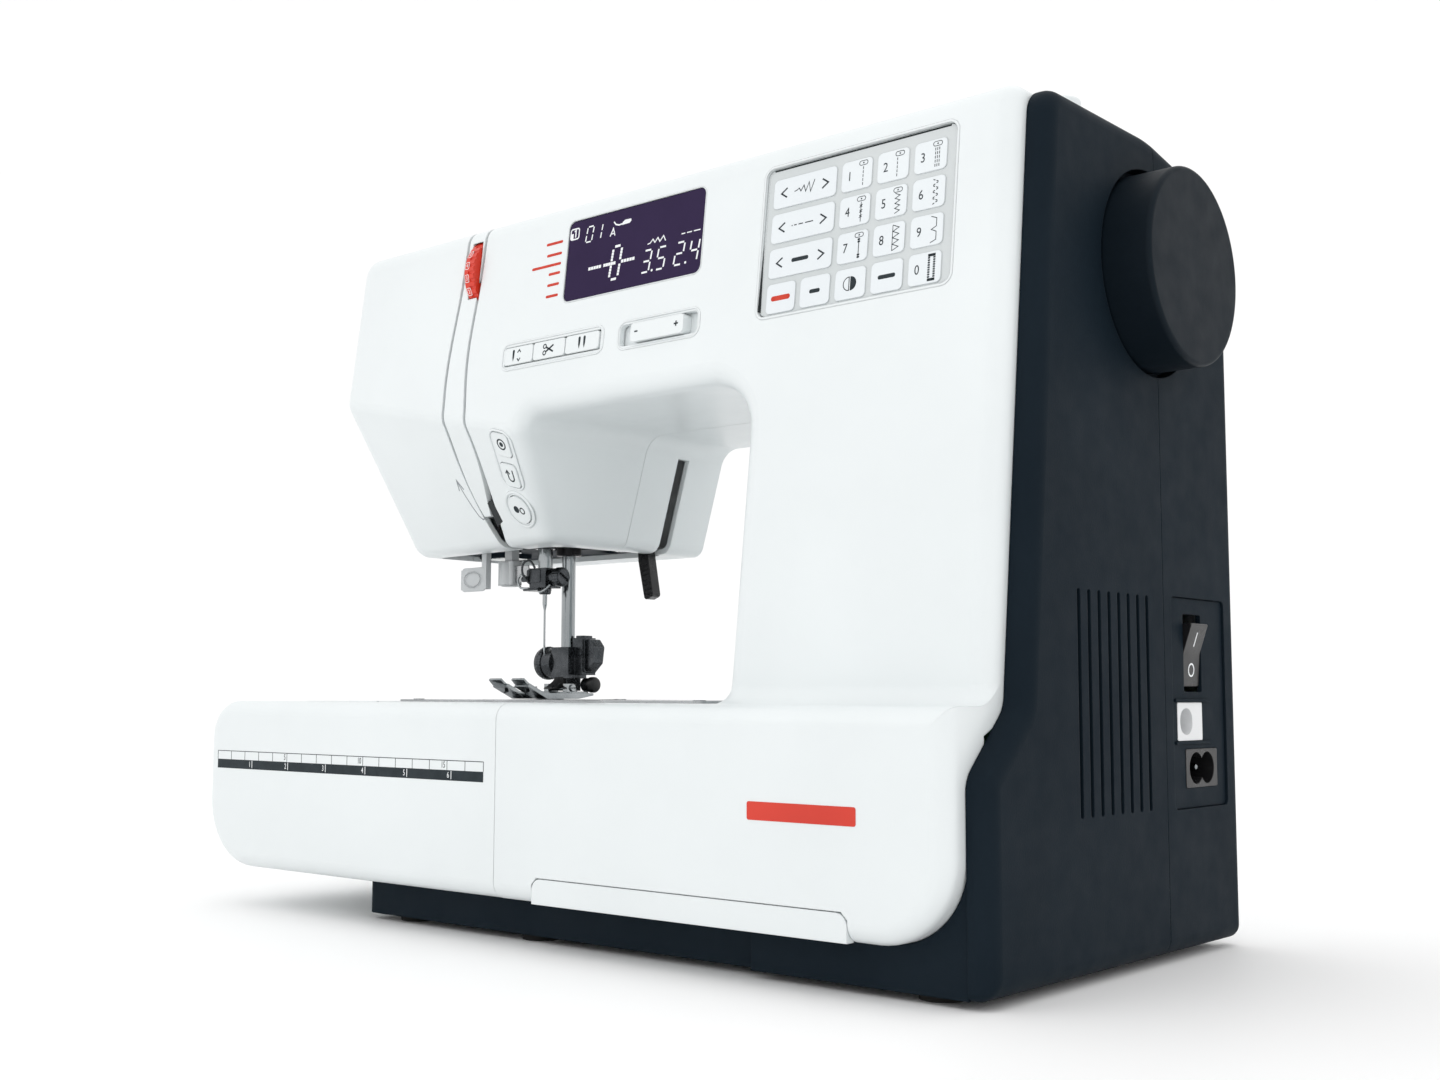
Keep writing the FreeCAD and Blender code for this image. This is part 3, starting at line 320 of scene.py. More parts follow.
def curve_solid(outlines, depth, bevel=0.0, text=None, size=1.0):
    """Flat solid of closed outlines, inner ones being holes, or of text. Its upper face is at height 0."""
    kind = "FONT" if text else "CURVE"
    data = bpy.data.curves.new("scratch", kind)
    if text:
        data.body = text
        data.size = size
        data.align_x = "CENTER"
        data.align_y = "CENTER"
        data.resolution_u = 3
    else:
        data.dimensions = "2D"
        for outline in outlines:
            spline = data.splines.new("POLY")
            spline.points.add(len(outline) - 1)
            for target, (u, v) in zip(spline.points, outline):
                target.co = (u, v, 0.0, 1.0)
            spline.use_cyclic_u = True
    data.fill_mode = "BOTH"
    data.extrude = depth / 2 - bevel
    data.bevel_depth = bevel
    data.bevel_resolution = 2
    data.offset = -bevel
    obj = bpy.data.objects.new("scratch", data)
    mesh = bpy.data.meshes.new_from_object(obj)
    mesh.transform(Matrix.Translation((0.0, 0.0, -depth / 2)))
    bpy.data.objects.remove(obj)
    bpy.data.curves.remove(data)
    return mesh


def add_mesh(bm, mesh, place):
    """Adds a scratch mesh to a bmesh, each vertex sent through place(u, v, h)."""
    first = len(bm.verts)
    bm.from_mesh(mesh)
    bm.verts.ensure_lookup_table()
    for vert in bm.verts[first:]:
        vert.co = place(*vert.co)
    bpy.data.meshes.remove(mesh)


def ribbon_sides(points, width, closed):
    """Left and right side of a line of the given width, with mitred corners."""
    count = len(points)
    left, right = [], []
    for i in range(count):
        here = Vector(points[i])
        before = Vector(points[i - 1]) if i or closed else None
        after = Vector(points[(i + 1) % count]) if i < count - 1 or closed else None
        d0 = (here - before).normalized() if before is not None else (after - here).normalized()
        d1 = (after - here).normalized() if after is not None else d0
        mean = d0 + d1
        mean = mean.normalized() if mean.length > 1e-6 else d0
        side = Vector((-mean.y, mean.x))
        reach = width / 2 / max(0.4, side.dot(Vector((-d0.y, d0.x))))
        left.append(here + side * reach)
        right.append(here - side * reach)
    return left, right


class Marks:
    """Thin raised marks on one surface, gathered into one piece.

    at(u, v) gives a surface point, in metres, and the way out of the surface there.
    """

    def __init__(self, at, height=INK):
        self.at = at
        self.height = height
        self.bm = bmesh.new()

    def raised(self, u, v, height):
        base, out = self.at(u, v)
        return self.bm.verts.new(base + out * (height * MM))

    def patch(self, outline):
        top = [self.raised(u, v, self.height) for u, v in outline]
        low = [self.raised(u, v, -SINK) for u, v in outline]
        self.bm.faces.new(top)
        for i in range(len(top)):
            j = (i + 1) % len(top)
            self.bm.faces.new((top[i], low[i], low[j], top[j]))

    def line(self, points, width, closed=False):
        left, right = ribbon_sides(points, width, closed)
        rows = [(self.raised(*a, self.height), self.raised(*b, self.height), self.raised(*b, -SINK),
                 self.raised(*a, -SINK)) for a, b in zip(left, right)]
        spans = len(rows) if closed else len(rows) - 1
        for i in range(spans):
            here, following = rows[i], rows[(i + 1) % len(rows)]
            for side in range(3):
                k = (side + 3) % 4
                self.bm.faces.new((here[k], here[(k + 1) % 4], following[(k + 1) % 4], following[k]))
        if not closed:
            self.bm.faces.new(rows[0])
            self.bm.faces.new(rows[-1])

    def ring(self, u, v, r, width, steps=32):
        self.line(circle(u, v, r, steps), width, True)

    def disc(self, u, v, r, steps=24):
        self.patch(circle(u, v, r, steps))

    def text(self, body, u, v, size, squeeze=1.0):
        mesh = curve_solid((), 0.1, text=body, size=size)

        def place(a, b, c):
            base, out = self.at(u + a * squeeze, v + b)
            return base + out * (self.height if c > -0.05 else -SINK) * MM
        add_mesh(self.bm, mesh, place)

    def done(self, name, material, body, slot):
        return finish_piece(name, self.bm, material, body, slot)


def tree_of(node):
    mesh = NODES[node].data
    return BVHTree.FromPolygons([v.co for v in mesh.vertices], [p.vertices for p in mesh.polygons])


def on_node(node, base, out):
    """Surface map of a node: casts from outside along -out at base(u, v)."""
    tree = tree_of(node)

    def at(u, v):
        start = base(u, v) * MM + out * 0.02
        hit = tree.ray_cast(start, -out, 0.035)[0]
        return (hit if hit is not None else base(u, v) * MM), out
    return at


def front_base(u, v):
    return Vector((u, front_y(v), v))


def front_plane(u, v):
    """The leaning front as a plain surface map, in metres."""
    return front_base(u, v) * MM, LEAN_OUT


def on_front(node):
    return on_node(node, front_base, LEAN_OUT)


def slope_plane(x, z):
    """The sloping front as a plain surface map, in metres."""
    return slope_point(x, z) * MM, SLOPE_OUT


def slope_map(x, z, node=None):
    """Local map on the sloping front about (x, z): u across, v up along the slope."""
    origin = slope_point(x, z)
    down = (slope_point(x - 2.7, z - 9.8) - origin).normalized()
    across = down.cross(SLOPE_OUT)

    def base(u, v):
        return origin + across * u - down * v
    if node:
        return on_node(node, base, SLOPE_OUT)
    return lambda u, v: (base(u, v) * MM, SLOPE_OUT)


def bead(at, points, width, height, closed=True, steps=8):
    """Half-round ridge along a line of (u, v) points."""
    bm = bmesh.new()
    left, right = ribbon_sides(points, width, closed)
    rows = []
    for a, b in zip(left, right):
        row = []
        for k in range(steps + 1):
            s = k / steps
            base, out = at(*(a.lerp(b, s)))
            lift = height * math.sin(math.pi * s) ** 0.8 - 0.02
            row.append(bm.verts.new(base + out * (lift * MM)))
        rows.append(row)
    spans = len(rows) if closed else len(rows) - 1
    for i in range(spans):
        here, following = rows[i], rows[(i + 1) % len(rows)]
        for k in range(steps):
            bm.faces.new((here[k], here[k + 1], following[k + 1], following[k]))
        bm.faces.new((here[steps], here[0], following[0], following[steps]))
    if not closed:
        bm.faces.new(rows[0])
        bm.faces.new(rows[-1])
    return bm


def axis_frame(axis):
    return Vector(UP).rotation_difference(Vector(axis)).to_matrix()


def lathe(bm, origin, axis, profile, turns=40, wave=0.0, teeth=0):
    """Solid of revolution from (radius, height) pairs about an axis; wave and teeth make a knurled rim."""
    turn = axis_frame(axis)
    rings = []
    for r, h in profile:
        if r < 1e-6:
            rings.append([bm.verts.new((Vector(origin) + turn @ Vector((0, 0, h))) * MM)])
            continue
        ring = []
        for k in range(turns):
            a = 2 * math.pi * k / turns
            rr = r + (wave * math.cos(teeth * a) if teeth else 0.0)
            spoke = Vector((rr * math.cos(a), rr * math.sin(a), h))
            ring.append(bm.verts.new((Vector(origin) + turn @ spoke) * MM))
        rings.append(ring)
    for lower, upper in zip(rings, rings[1:]):
        for k in range(turns):
            j = (k + 1) % turns
            if len(lower) == 1 and len(upper) > 1:
                bm.faces.new((lower[0], upper[k], upper[j]))
            elif len(upper) == 1 and len(lower) > 1:
                bm.faces.new((lower[k], lower[j], upper[0]))
            elif len(lower) > 1:
                bm.faces.new((lower[k], lower[j], upper[j], upper[k]))


def solid_on(bm, origin, axis, up, outlines, depth, bevel=0.1):
    """Flat bevelled solid standing on a plane: its outer face is at origin, its face points along axis."""
    n = Vector(axis).normalized()
    v = (Vector(up) - n * Vector(up).dot(n)).normalized()
    u = v.cross(n)
    base = Vector(origin)
    add_mesh(bm, curve_solid(outlines, depth, bevel), lambda a, b, c: (base + u * a + v * b + n * c) * MM)


def swept_wire(name, points, radius, material, body, slot):
    """Round wire along a smooth line of points."""
    curve = bpy.data.curves.new(name, "CURVE")
    curve.dimensions = "3D"
    spline = curve.splines.new("NURBS")
    spline.points.add(len(points) - 1)
    for target, source in zip(spline.points, points):
        target.co = (*(Vector(source) * MM), 1.0)
    spline.order_u = 3
    spline.use_endpoint_u = True
    curve.bevel_depth = radius * MM
    curve.bevel_resolution = 3
    curve.use_fill_caps = True
    scratch = bpy.data.objects.new("scratch", curve)
    bm = bmesh.new()
    bm.from_mesh(bpy.data.meshes.new_from_object(scratch))
    bpy.data.objects.remove(scratch)
    return finish_piece(name, bm, material, body, slot)


CROSS = [(0.35, 1.5), (-0.35, 1.5), (-0.35, 0.35), (-1.5, 0.35), (-1.5, -0.35), (-0.35, -0.35), (-0.35, -1.5),
         (0.35, -1.5), (0.35, -0.35), (1.5, -0.35), (1.5, 0.35), (0.35, 0.35)]


def screw_head(bm, at_point, axis, r, slot="cross", up=UP, height=1.2):
    """Bevelled screw head with a cross or a straight slot, its top face at height above at_point."""
    top = Vector(at_point) + Vector(axis).normalized() * height
    scale = r * 0.42
    if slot == "cross":
        hole = [(u * scale, v * scale) for u, v in CROSS]
    else:
        hole = [(-0.82 * r, -0.14 * r), (0.82 * r, -0.14 * r), (0.82 * r, 0.14 * r), (-0.82 * r, 0.14 * r)]
    solid_on(bm, top, axis, up, [circle(0, 0, r, 32), hole], height * 0.6, 0.12 * height)
    solid_on(bm, top - Vector(axis).normalized() * height * 0.5, axis, up, [circle(0, 0, r * 0.93, 32)],
             height * 0.6, 0.0)


# ---- display ----
SEGMENT_ENDS = {
    "a": ((0, 1), (1, 1)), "b": ((1, 1), (1, 0.5)), "c": ((1, 0.5), (1, 0)), "d": ((0, 0), (1, 0)),
    "e": ((0, 0.5), (0, 0)), "f": ((0, 1), (0, 0.5)), "g": ((0, 0.5), (1, 0.5)),
}
LIT = {"0": "abcdef", "1": "bc", "2": "abged", "3": "abgcd", "4": "fgbc", "5": "afgcd"}


def lcd_digit(marks, char, x, z, width, height, stroke):
    slant = 0.14 * height
    for name in LIT[char]:
        (u0, v0), (u1, v1) = SEGMENT_ENDS[name]
        a = Vector((x + u0 * width + v0 * slant, z + v0 * height))
        b = Vector((x + u1 * width + v1 * slant, z + v1 * height))
        trim = (b - a).normalized() * stroke * 0.75
        marks.line([a + trim, b - trim], stroke)


def lcd_blocks(marks, a, b, count, size):
    """Row of small square cells, as on a dot display."""
    a, b = Vector(a), Vector(b)
    for k in range(count):
        c = a.lerp(b, (k + 0.5) / count)
        marks.patch([(c.x - size / 2, c.y - size / 2), (c.x + size / 2, c.y - size / 2),
                     (c.x + size / 2, c.y + size / 2), (c.x - size / 2, c.y + size / 2)])


def display():
    marks = Marks(on_front("lcd_window"), 0.03)
    marks.line(rounded(-22.9, -18.4, 263.2, 267.4, 0.8, 3), 0.55, True)
    marks.line([(-20.9, 266.3), (-20.2, 266.9), (-20.2, 263.9)], 0.6)
    marks.patch(rounded(-22.6, -21.4, 263.5, 265.6, 0.2, 2))
    for char, x, width in (("0", -14.4, 3.3), ("1", -9.4, 3.1)):
        lcd_digit(marks, char, x, 260.7, width, 6.1, 0.55)
    marks.line([(-1.0, 260.6), (0.4, 263.6), (1.5, 260.6)], 0.5)
    marks.line([(-0.5, 261.5), (1.1, 261.5)], 0.4)
    marks.line([(0.4, 266.2), (1.6, 264.9), (3.3, 264.4), (5.0, 264.6)], 0.55)
    marks.patch([(4.6, 264.1), (8.8, 264.2), (9.7, 265.0), (9.4, 265.8), (6.4, 265.9), (5.2, 265.2)])
    for x0, x1 in ((-11.4, -4.4), (-3.3, 3.2), (6.0, 13.2)):
        lcd_blocks(marks, (x0, 249.5), (x1, 249.5), 5, 1.2)
    for x0, x1, z0, z1 in ((0.4, 0.9, 244.2, 248.8), (1.0, 1.5, 250.4, 255.0), (4.9, 5.4, 244.2, 248.8),
                           (5.5, 6.0, 250.4, 255.0)):
        lcd_blocks(marks, (x0, z0), (x1, z1), 4, 1.05)
    for x0, x1, z in ((1.5, 4.2, 243.1), (2.3, 5.0, 256.0)):
        lcd_blocks(marks, (x0, z), (x1, z), 3, 0.95)
    marks.line([(19.3, 253.7), (20.6, 253.9), (21.9, 255.2), (23.0, 253.8), (24.4, 255.4), (25.5, 253.7),
                (27.2, 255.6), (28.4, 253.5)], 0.42)
    for char, x in (("3", 16.9), ("5", 24.3), ("2", 33.3), ("4", 40.6)):
        lcd_digit(marks, char, x, 242.9, 3.9, 8.4, 0.7)
    for x in (22.6, 39.2):
        marks.disc(x, 243.1, 0.5, 12)
    for x0, x1 in ((36.2, 38.0), (38.9, 41.3), (42.2, 45.4)):
        marks.line([(x0, 254.5), (x1, 254.5)], 0.42)
    marks.done("display_segments", INK_WHITE, "body", "lcd")
    labels = Marks(on_front("front_cover"))
    for width, z in ((9.2, 263.6), (8.4, 258.9), (16.4, 254.7), (6.4, 251.0), (6.6, 246.5), (6.8, 241.9)):
        labels.patch(rounded(-26.9 - width, -26.9, z - 0.55, z + 0.55, 0.5, 3))
    labels.done("display_labels", INK_RED, "body", "white")
    rim = bead(front_plane, rounded(-24.0, 47.2, 237.8, 270.8, 3.2, 8), 0.7, 0.14)
    finish_piece("display_rim", rim, WHITE, "body", "white")


# ---- keypad ----
KEY_X0 = 84.9
KEY_Z0 = 260.2
KEY_PITCH_X = 14.6
KEY_PITCH_Z = 12.6
KEY_HALF_X = 6.15
KEY_HALF_Z = 5.25


def foot_sign(m, x, z):
    m.line(rounded(x - 1.7, x + 1.7, z - 0.75, z + 0.75, 0.75, 4), 0.22, True)
    m.disc(x, z, 0.3, 8)


def dashes(m, x, z0, z1, count, width=0.26):
    step = (z1 - z0) / count
    for k in range(count):
        m.line([(x, z0 + k * step + 0.15 * step), (x, z0 + k * step + 0.85 * step)], width)


def upright_zigzag(x, z0, z1, half, teeth):
    return [(x + (half if k % 2 else -half), z0 + (z1 - z0) * k / (2 * teeth)) for k in range(2 * teeth + 1)]


def stitch_sign(m, number, x, z):
    top, bottom = z + 2.6, z - 4.3
    if number in (1, 2, 3, 4, 5, 7):
        foot_sign(m, x, z + 3.7)
    if number in (1, 2):
        dashes(m, x - (0.9 if number == 2 else 0.0), bottom, top, 5)
    elif number == 3:
        for dx in (-0.75, 0.0, 0.75):
            dashes(m, x + dx, bottom, top, 5)
    elif number == 4:
        m.line([(x, bottom), (x, top)], 0.24)
        for dz in (-2.4, -0.6, 1.2):
            m.line([(x - 0.6, z + dz - 0.5), (x + 0.6, z + dz + 0.5)], 0.24)
            m.line([(x - 0.5, z + dz + 0.4), (x + 0.5, z + dz - 0.4)], 0.24)
    elif number == 5:
        m.line(upright_zigzag(x, bottom, top, 0.95, 4), 0.24)
    elif number == 6:
        track = upright_zigzag(x, bottom, z + 4.3, 1.2, 4)
        for a, b in zip(track, track[1:]):
            a, b = Vector(a), Vector(b)
            m.line([a.lerp(b, 0.12), a.lerp(b, 0.42)], 0.3)
            m.line([a.lerp(b, 0.6), a.lerp(b, 0.9)], 0.3)
    elif number == 7:
        m.line([(x, bottom), (x, top)], 0.28)
        dashes(m, x, bottom, bottom + 1.6, 2, 1.0)
        dashes(m, x, top - 1.6, top, 2, 1.0)
    elif number == 8:
        m.line(upright_zigzag(x + 0.1, bottom, z + 4.4, 1.2, 4), 0.24)
        m.line([(x - 1.15, bottom), (x - 1.15, z + 4.4)], 0.22)
    elif number == 9:
        m.line([(x - 1.0, z + 4.4), (x + 1.1, z + 3.6), (x + 1.1, z + 0.9), (x - 0.8, z), (x + 1.1, z - 0.9),
                (x + 1.1, z - 3.6), (x - 1.0, z - 4.4)], 0.24)
    else:
        for dx in (-1.0, 1.0):
            dashes(m, x + dx, bottom, z + 4.4, 11, 0.8)
        m.patch([(x - 1.4, z + 3.6), (x + 1.4, z + 3.6), (x + 1.4, z + 4.5), (x - 1.4, z + 4.5)])
        m.patch([(x - 1.4, z - 4.5), (x + 1.4, z - 4.5), (x + 1.4, z - 3.6), (x - 1.4, z - 3.6)])


def chevron(m, x, z, way):
    m.line([(x + 1.3 * way, z + 1.7), (x - 1.2 * way, z), (x + 1.3 * way, z - 1.7)], 0.55)


def keypad():
    at = on_front("keypad")
    caps = bmesh.new()
    signs = Marks(at, 0.2)
    red = Marks(at, 0.2)

    def cap(x0, x1, z):
        add_mesh(caps, curve_solid([rounded(x0, x1, z - KEY_HALF_Z, z + KEY_HALF_Z, 1.7, 6)], 0.3, 0.07),
                 lambda u, v, h: at(u, v)[0] + LEAN_OUT * ((0.16 + h) * MM))
    for row in range(4):
        z = KEY_Z0 - row * KEY_PITCH_Z
        for col in range(5):
            x = KEY_X0 + col * KEY_PITCH_X
            if row < 3 and col == 0:
                cap(x - KEY_HALF_X, x + KEY_PITCH_X + KEY_HALF_X, z)
                chevron(signs, x - 1.6, z, 1)
                chevron(signs, x + KEY_PITCH_X + 1.6, z, -1)
            elif row == 3 or col > 1:
                cap(x - KEY_HALF_X, x + KEY_HALF_X, z)
            if col > 1:
                number = 0 if row == 3 else row * 3 + col - 1
                if row < 3 or col == 4:
                    signs.text(str(number), x - 2.9, z - 0.2, 4.6, 0.86)
                    stitch_sign(signs, number, x + 2.6, z)
    mid = KEY_X0 + KEY_PITCH_X / 2
    wave = ((-4.4, -0.3), (-3.2, 0.0), (-2.4, 0.5), (-1.6, -0.7), (-0.4, 1.2), (0.5, -1.2), (1.8, 1.9),
            (2.6, -1.7), (4.2, 2.4))
    signs.line([(mid + u, KEY_Z0 + v) for u, v in wave], 0.3)
    z = KEY_Z0 - KEY_PITCH_Z
    for x0, x1 in ((-4.6, -4.2), (-3.5, -2.4), (-1.6, 0.3), (1.2, 4.6)):
        signs.line([(mid + x0, z), (mid + x1, z)], 0.36)
    z -= KEY_PITCH_Z
    signs.patch(rounded(mid - 3.6, mid + 3.6, z - 0.7, z + 0.7, 0.6, 3))
    z -= KEY_PITCH_Z
    red.patch(rounded(KEY_X0 - 4.1, KEY_X0 + 4.1, z - 0.9, z + 0.9, 0.8, 3))
    signs.patch(rounded(KEY_X0 + KEY_PITCH_X - 2.2, KEY_X0 + KEY_PITCH_X + 2.2, z - 0.7, z + 0.7, 0.6, 3))
    x = KEY_X0 + 2 * KEY_PITCH_X
    signs.line(circle(x - 0.35, z, 2.3, 18, 90, 180), 0.3)
    signs.line([(x - 0.35, z - 2.45), (x - 0.35, z + 2.45)], 0.3)
    signs.patch(circle(x + 0.15, z, 2.45, 18, -90, 180))
    x += KEY_PITCH_X
    signs.patch(rounded(x - 3.4, x + 3.4, z - 0.7, z + 0.7, 0.6, 3))
    finish_piece("keypad_caps", caps, KEY, "body", "pale_grey")
    signs.done("keypad_signs", INK_DARK, "body", "pale_grey")
    red.done("keypad_mode_sign", INK_RED, "body", "pale_grey")
    # Painted shade: a dark line along the upper and left edges of the keypad recess, where shade falls.
    recess_shade = Marks(at, FINE_INK)
    recess_shade.line([(75.95, 218.5), (75.95, 267.2), (76.6, 268.6), (78.2, 269.25), (150.5, 269.25)], 0.62)
    recess_shade.done("keypad_recess_painted_shade", PRINT_AND_PAINTED_SHADE, "body", "pale_grey")
    rim = bead(front_plane, rounded(74.8, 153.8, 215.8, 270.4, 3.8, 8), 1.2, 0.22)
    finish_piece("keypad_rim", rim, WHITE, "body", "white")


# ---- buttons and slider under the display ----
def needle_sign(m, x, z0, z1):
    m.patch([(x - 0.55, z1 - 0.5), (x - 0.3, z1), (x + 0.35, z1), (x + 0.6, z1 - 0.5), (x + 0.45, z0 + 1.6),
             (x, z0), (x - 0.45, z0 + 1.6)])


def function_buttons():
    m = Marks(on_front("button_needle"))
    needle_sign(m, -48.7, 217.9, 222.6)
    m.line([(-46.4, 221.2), (-45.5, 222.3), (-44.6, 221.2)], 0.45)
    m.line([(-46.4, 218.9), (-45.5, 217.8), (-44.6, 218.9)], 0.45)
    m.done("sign_needle", INK_DARK, "btn_needle", "white")
    m = Marks(on_front("button_cut"))
    m.line([(-26.0, 221.6), (-30.0, 219.3)], 0.7)
    m.line([(-26.0, 218.9), (-30.0, 221.1)], 0.7)
    m.ring(-30.8, 221.5, 0.8, 0.45, 16)
    m.ring(-30.8, 218.9, 0.8, 0.45, 16)
    m.done("sign_scissors", INK_DARK, "btn_cut", "white")
    m = Marks(on_front("button_twin"))
    needle_sign(m, -11.7, 217.9, 222.6)
    needle_sign(m, -9.0, 217.9, 222.6)
    m.done("sign_twin_needle", INK_DARK, "btn_twin", "white")
    m = Marks(on_front("speed_slider"))
    m.line([(18.3, 219.8), (19.9, 219.8)], 0.55)
    m.line([(37.9, 219.8), (39.9, 219.8)], 0.55)
    m.line([(38.9, 218.8), (38.9, 220.8)], 0.55)
    m.done("slider_signs", INK_DARK, "slider", "white")
    rim = bead(front_plane, rounded(-55.6, 0.6, 214.9, 225.5, 3.2, 8), 1.0, 0.32)
    finish_piece("button_rim", rim, WHITE, "body", "white")
    rim = bead(front_plane, rounded(8.4, 48.8, 214.4, 225.0, 3.6, 8), 1.0, 0.25)
    finish_piece("slider_rim", rim, WHITE, "body", "white")


# ---- buttons on the sloping front, with the threading arrow ----
LOCK = (-56.6, 186.0)
REVERSE = (-59.9, 174.9)
START = (-64.4, 162.2)


def slope_buttons():
    m = Marks(slope_map(*LOCK, "lock_button"))
    m.ring(0, 0.2, 2.2, 0.62)
    m.disc(0, 0.2, 1.05)
    m.done("sign_lock", INK_DARK, "btn_lock", "white")
    m = Marks(slope_map(*REVERSE, "reverse_button"))
    m.line([(-1.9, 2.6)] + circle(-0.3, -1.0, 1.6, 12, 180, 180) + [(1.3, 1.4)], 0.62)
    m.line([(0.1, 0.6), (1.3, 2.1), (2.5, 0.6)], 0.58)
    m.done("sign_reverse", INK_DARK, "btn_reverse", "white")
    m = Marks(slope_map(*START, "start_button"))
    m.ring(-1.9, 0, 1.3, 0.55)
    m.disc(1.6, 0, 1.6)
    m.done("sign_start", INK_DARK, "btn_start", "white")
    mid = ((LOCK[0] + REVERSE[0]) / 2, (LOCK[1] + REVERSE[1]) / 2)
    rim = bead(slope_map(*mid), rounded(-6.5, 6.5, -13.2, 13.2, 4.6, 8), 1.2, 0.5)
    finish_piece("lock_rim", rim, WHITE, "body", "white")
    rim = bead(slope_map(*START), circle(0, 0, 8.0, 48), 1.6, 0.6)
    finish_piece("start_rim", rim, WHITE, "body", "white")
    m = Marks(slope_plane, 0.04)
    m.line([(-101.0, 172.6), (-99.6, 176.6), (-97.4, 172.8)], 0.6)
    m.line([(-99.6, 176.2), (-98.6, 171.0), (-97.0, 165.8), (-95.4, 162.2), (-93.6, 160.6), (-91.9, 160.9)],
           0.55)
    m.done("threading_arrow", INK_GREY, "body", "white")
    # Painted shade: a dark patch on the slope standing for the shade inside the thread opening below the
    # channel strip.
    m = Marks(slope_plane)
    m.patch([(-85.0, 166.4), (-80.9, 167.6), (-80.2, 158.8), (-85.4, 157.2)])
    m.done("thread_opening_painted_shade", PRINT_AND_PAINTED_SHADE, "body", "white")


# ---- tension dial ----
DIAL_Z = 259.0
DIAL_R = 18.0
DIAL_Y = front_y(DIAL_Z) + DIAL_R - 3.4


def dial_marks():
    def at(u, v):
        a = v / DIAL_R
        out = Vector((0.0, -math.cos(a), math.sin(a)))
        return (Vector((u, DIAL_Y, DIAL_Z)) + out * DIAL_R) * MM, out
    m = Marks(at)
    for k, label in enumerate(("5", "4", "3", "2")):
        v = 8.6 - 5.4 * k
        m.line(rounded(-80.7, -78.5, v - 1.5, v + 1.5, 0.3, 2), 0.2, True)
        m.text(label, -79.6, v, 2.4, 0.8)
    m.done("dial_numbers", INK_WHITE, "dial", "red")


# ---- rule on the accessory box ----
BASE_FRONT_Y = -90.0
RULE_X0 = -190.0
RULE_LENGTH = 170.0
RULE_LOW = 56.4
RULE_MID = 60.1
RULE_HIGH = 63.6
INCH = 25.4


def rule():
    at = on_node("accessory_box", lambda u, v: Vector((u, BASE_FRONT_Y, v)), Vector(FRONT))
    dark = Marks(at)
    pale = Marks(at, 0.1)
    end = RULE_X0 + RULE_LENGTH
    dark.patch([(RULE_X0, RULE_LOW), (end, RULE_LOW), (end, RULE_MID), (RULE_X0, RULE_MID)])
    dark.line([(RULE_X0, RULE_MID), (RULE_X0, RULE_HIGH), (end, RULE_HIGH), (end, RULE_MID)], 0.26)
    for k in range(1, 17):
        x = RULE_X0 + 10.0 * k
        dark.line([(x, RULE_MID), (x, 63.5)], 0.24)
        if k % 5 == 0:
            dark.text(str(k), x - (1.5 if k == 5 else 2.2), 61.9, 3.3, 0.72)
    for k in range(1, 7):
        x = RULE_X0 + INCH * k
        pale.line([(x, 56.9), (x, 59.9)], 0.34)
        pale.text(str(k), x - 1.7, 58.3, 3.1, 0.8)
    dark.done("rule_dark", INK_DARK, "accessory", "white")
    pale.done("rule_pale", INK_WHITE, "accessory", "white")


def accent_bar():
    """Plain unlettered red bar low on the front of the base."""
    at = on_node("front_cover", lambda u, v: Vector((u, BASE_FRONT_Y, v)), Vector(FRONT))
    m = Marks(at, 0.12)
    m.patch(rounded(102.0, 143.0, 49.7, 55.3, 0.7, 3))
    m.done("accent_bar", RED, "body", "white")


# ---- right side: switch marks, inlet pins, socket ----
def side_marks():
    out = Vector(RIGHT)
    m = Marks(on_node("rocker_switch", lambda u, v: Vector((181.0, u, v)), out), 0.06)
    m.line([(54.15, 104.6), (54.15, 109.4)], 0.6)
    m.ring(54.15, 96.6, 2.1, 0.55, 28)
    m.done("switch_marks", INK_WHITE, "rocker", "black")
    bm = bmesh.new()
    for side in (-1, 1):
        lathe(bm, (164.5, 59.3 + side * 4.3, 63.2), RIGHT,
              [(0, 0), (1.3, 0), (1.3, 12.2), (1.1, 12.9), (0.6, 13.3), (0, 13.4)], 24)
    finish_piece("inlet_pins", bm, CHROME, "body", "chrome")
    bm = bmesh.new()
    solid_on(bm, (174.6, 47.9, 79.05), RIGHT, UP, [circle(0, 0, 3.2, 32)], 0.8, 0.1)
    finish_piece("socket_pad", bm, PALE, "body", "pale_grey")
    bm = bmesh.new()
    for z in (71.9, 86.2):
        solid_on(bm, (181.9, 52.9, z), RIGHT, UP, [rounded(-13.6, 13.6, -0.55, 0.55, 0.4, 3)], 1.4, 0.12)
    finish_piece("socket_ledges", bm, CHARCOAL, "body", "dark")


# ---- needle area ----
NEEDLE_X = -88.0
NEEDLE_Y = 2.0
PRESSER_Y = 16.0
CLAMP_SCREW_Z = 137.5
THUMB_Z = 101.3
TOE_TOP = 89.35


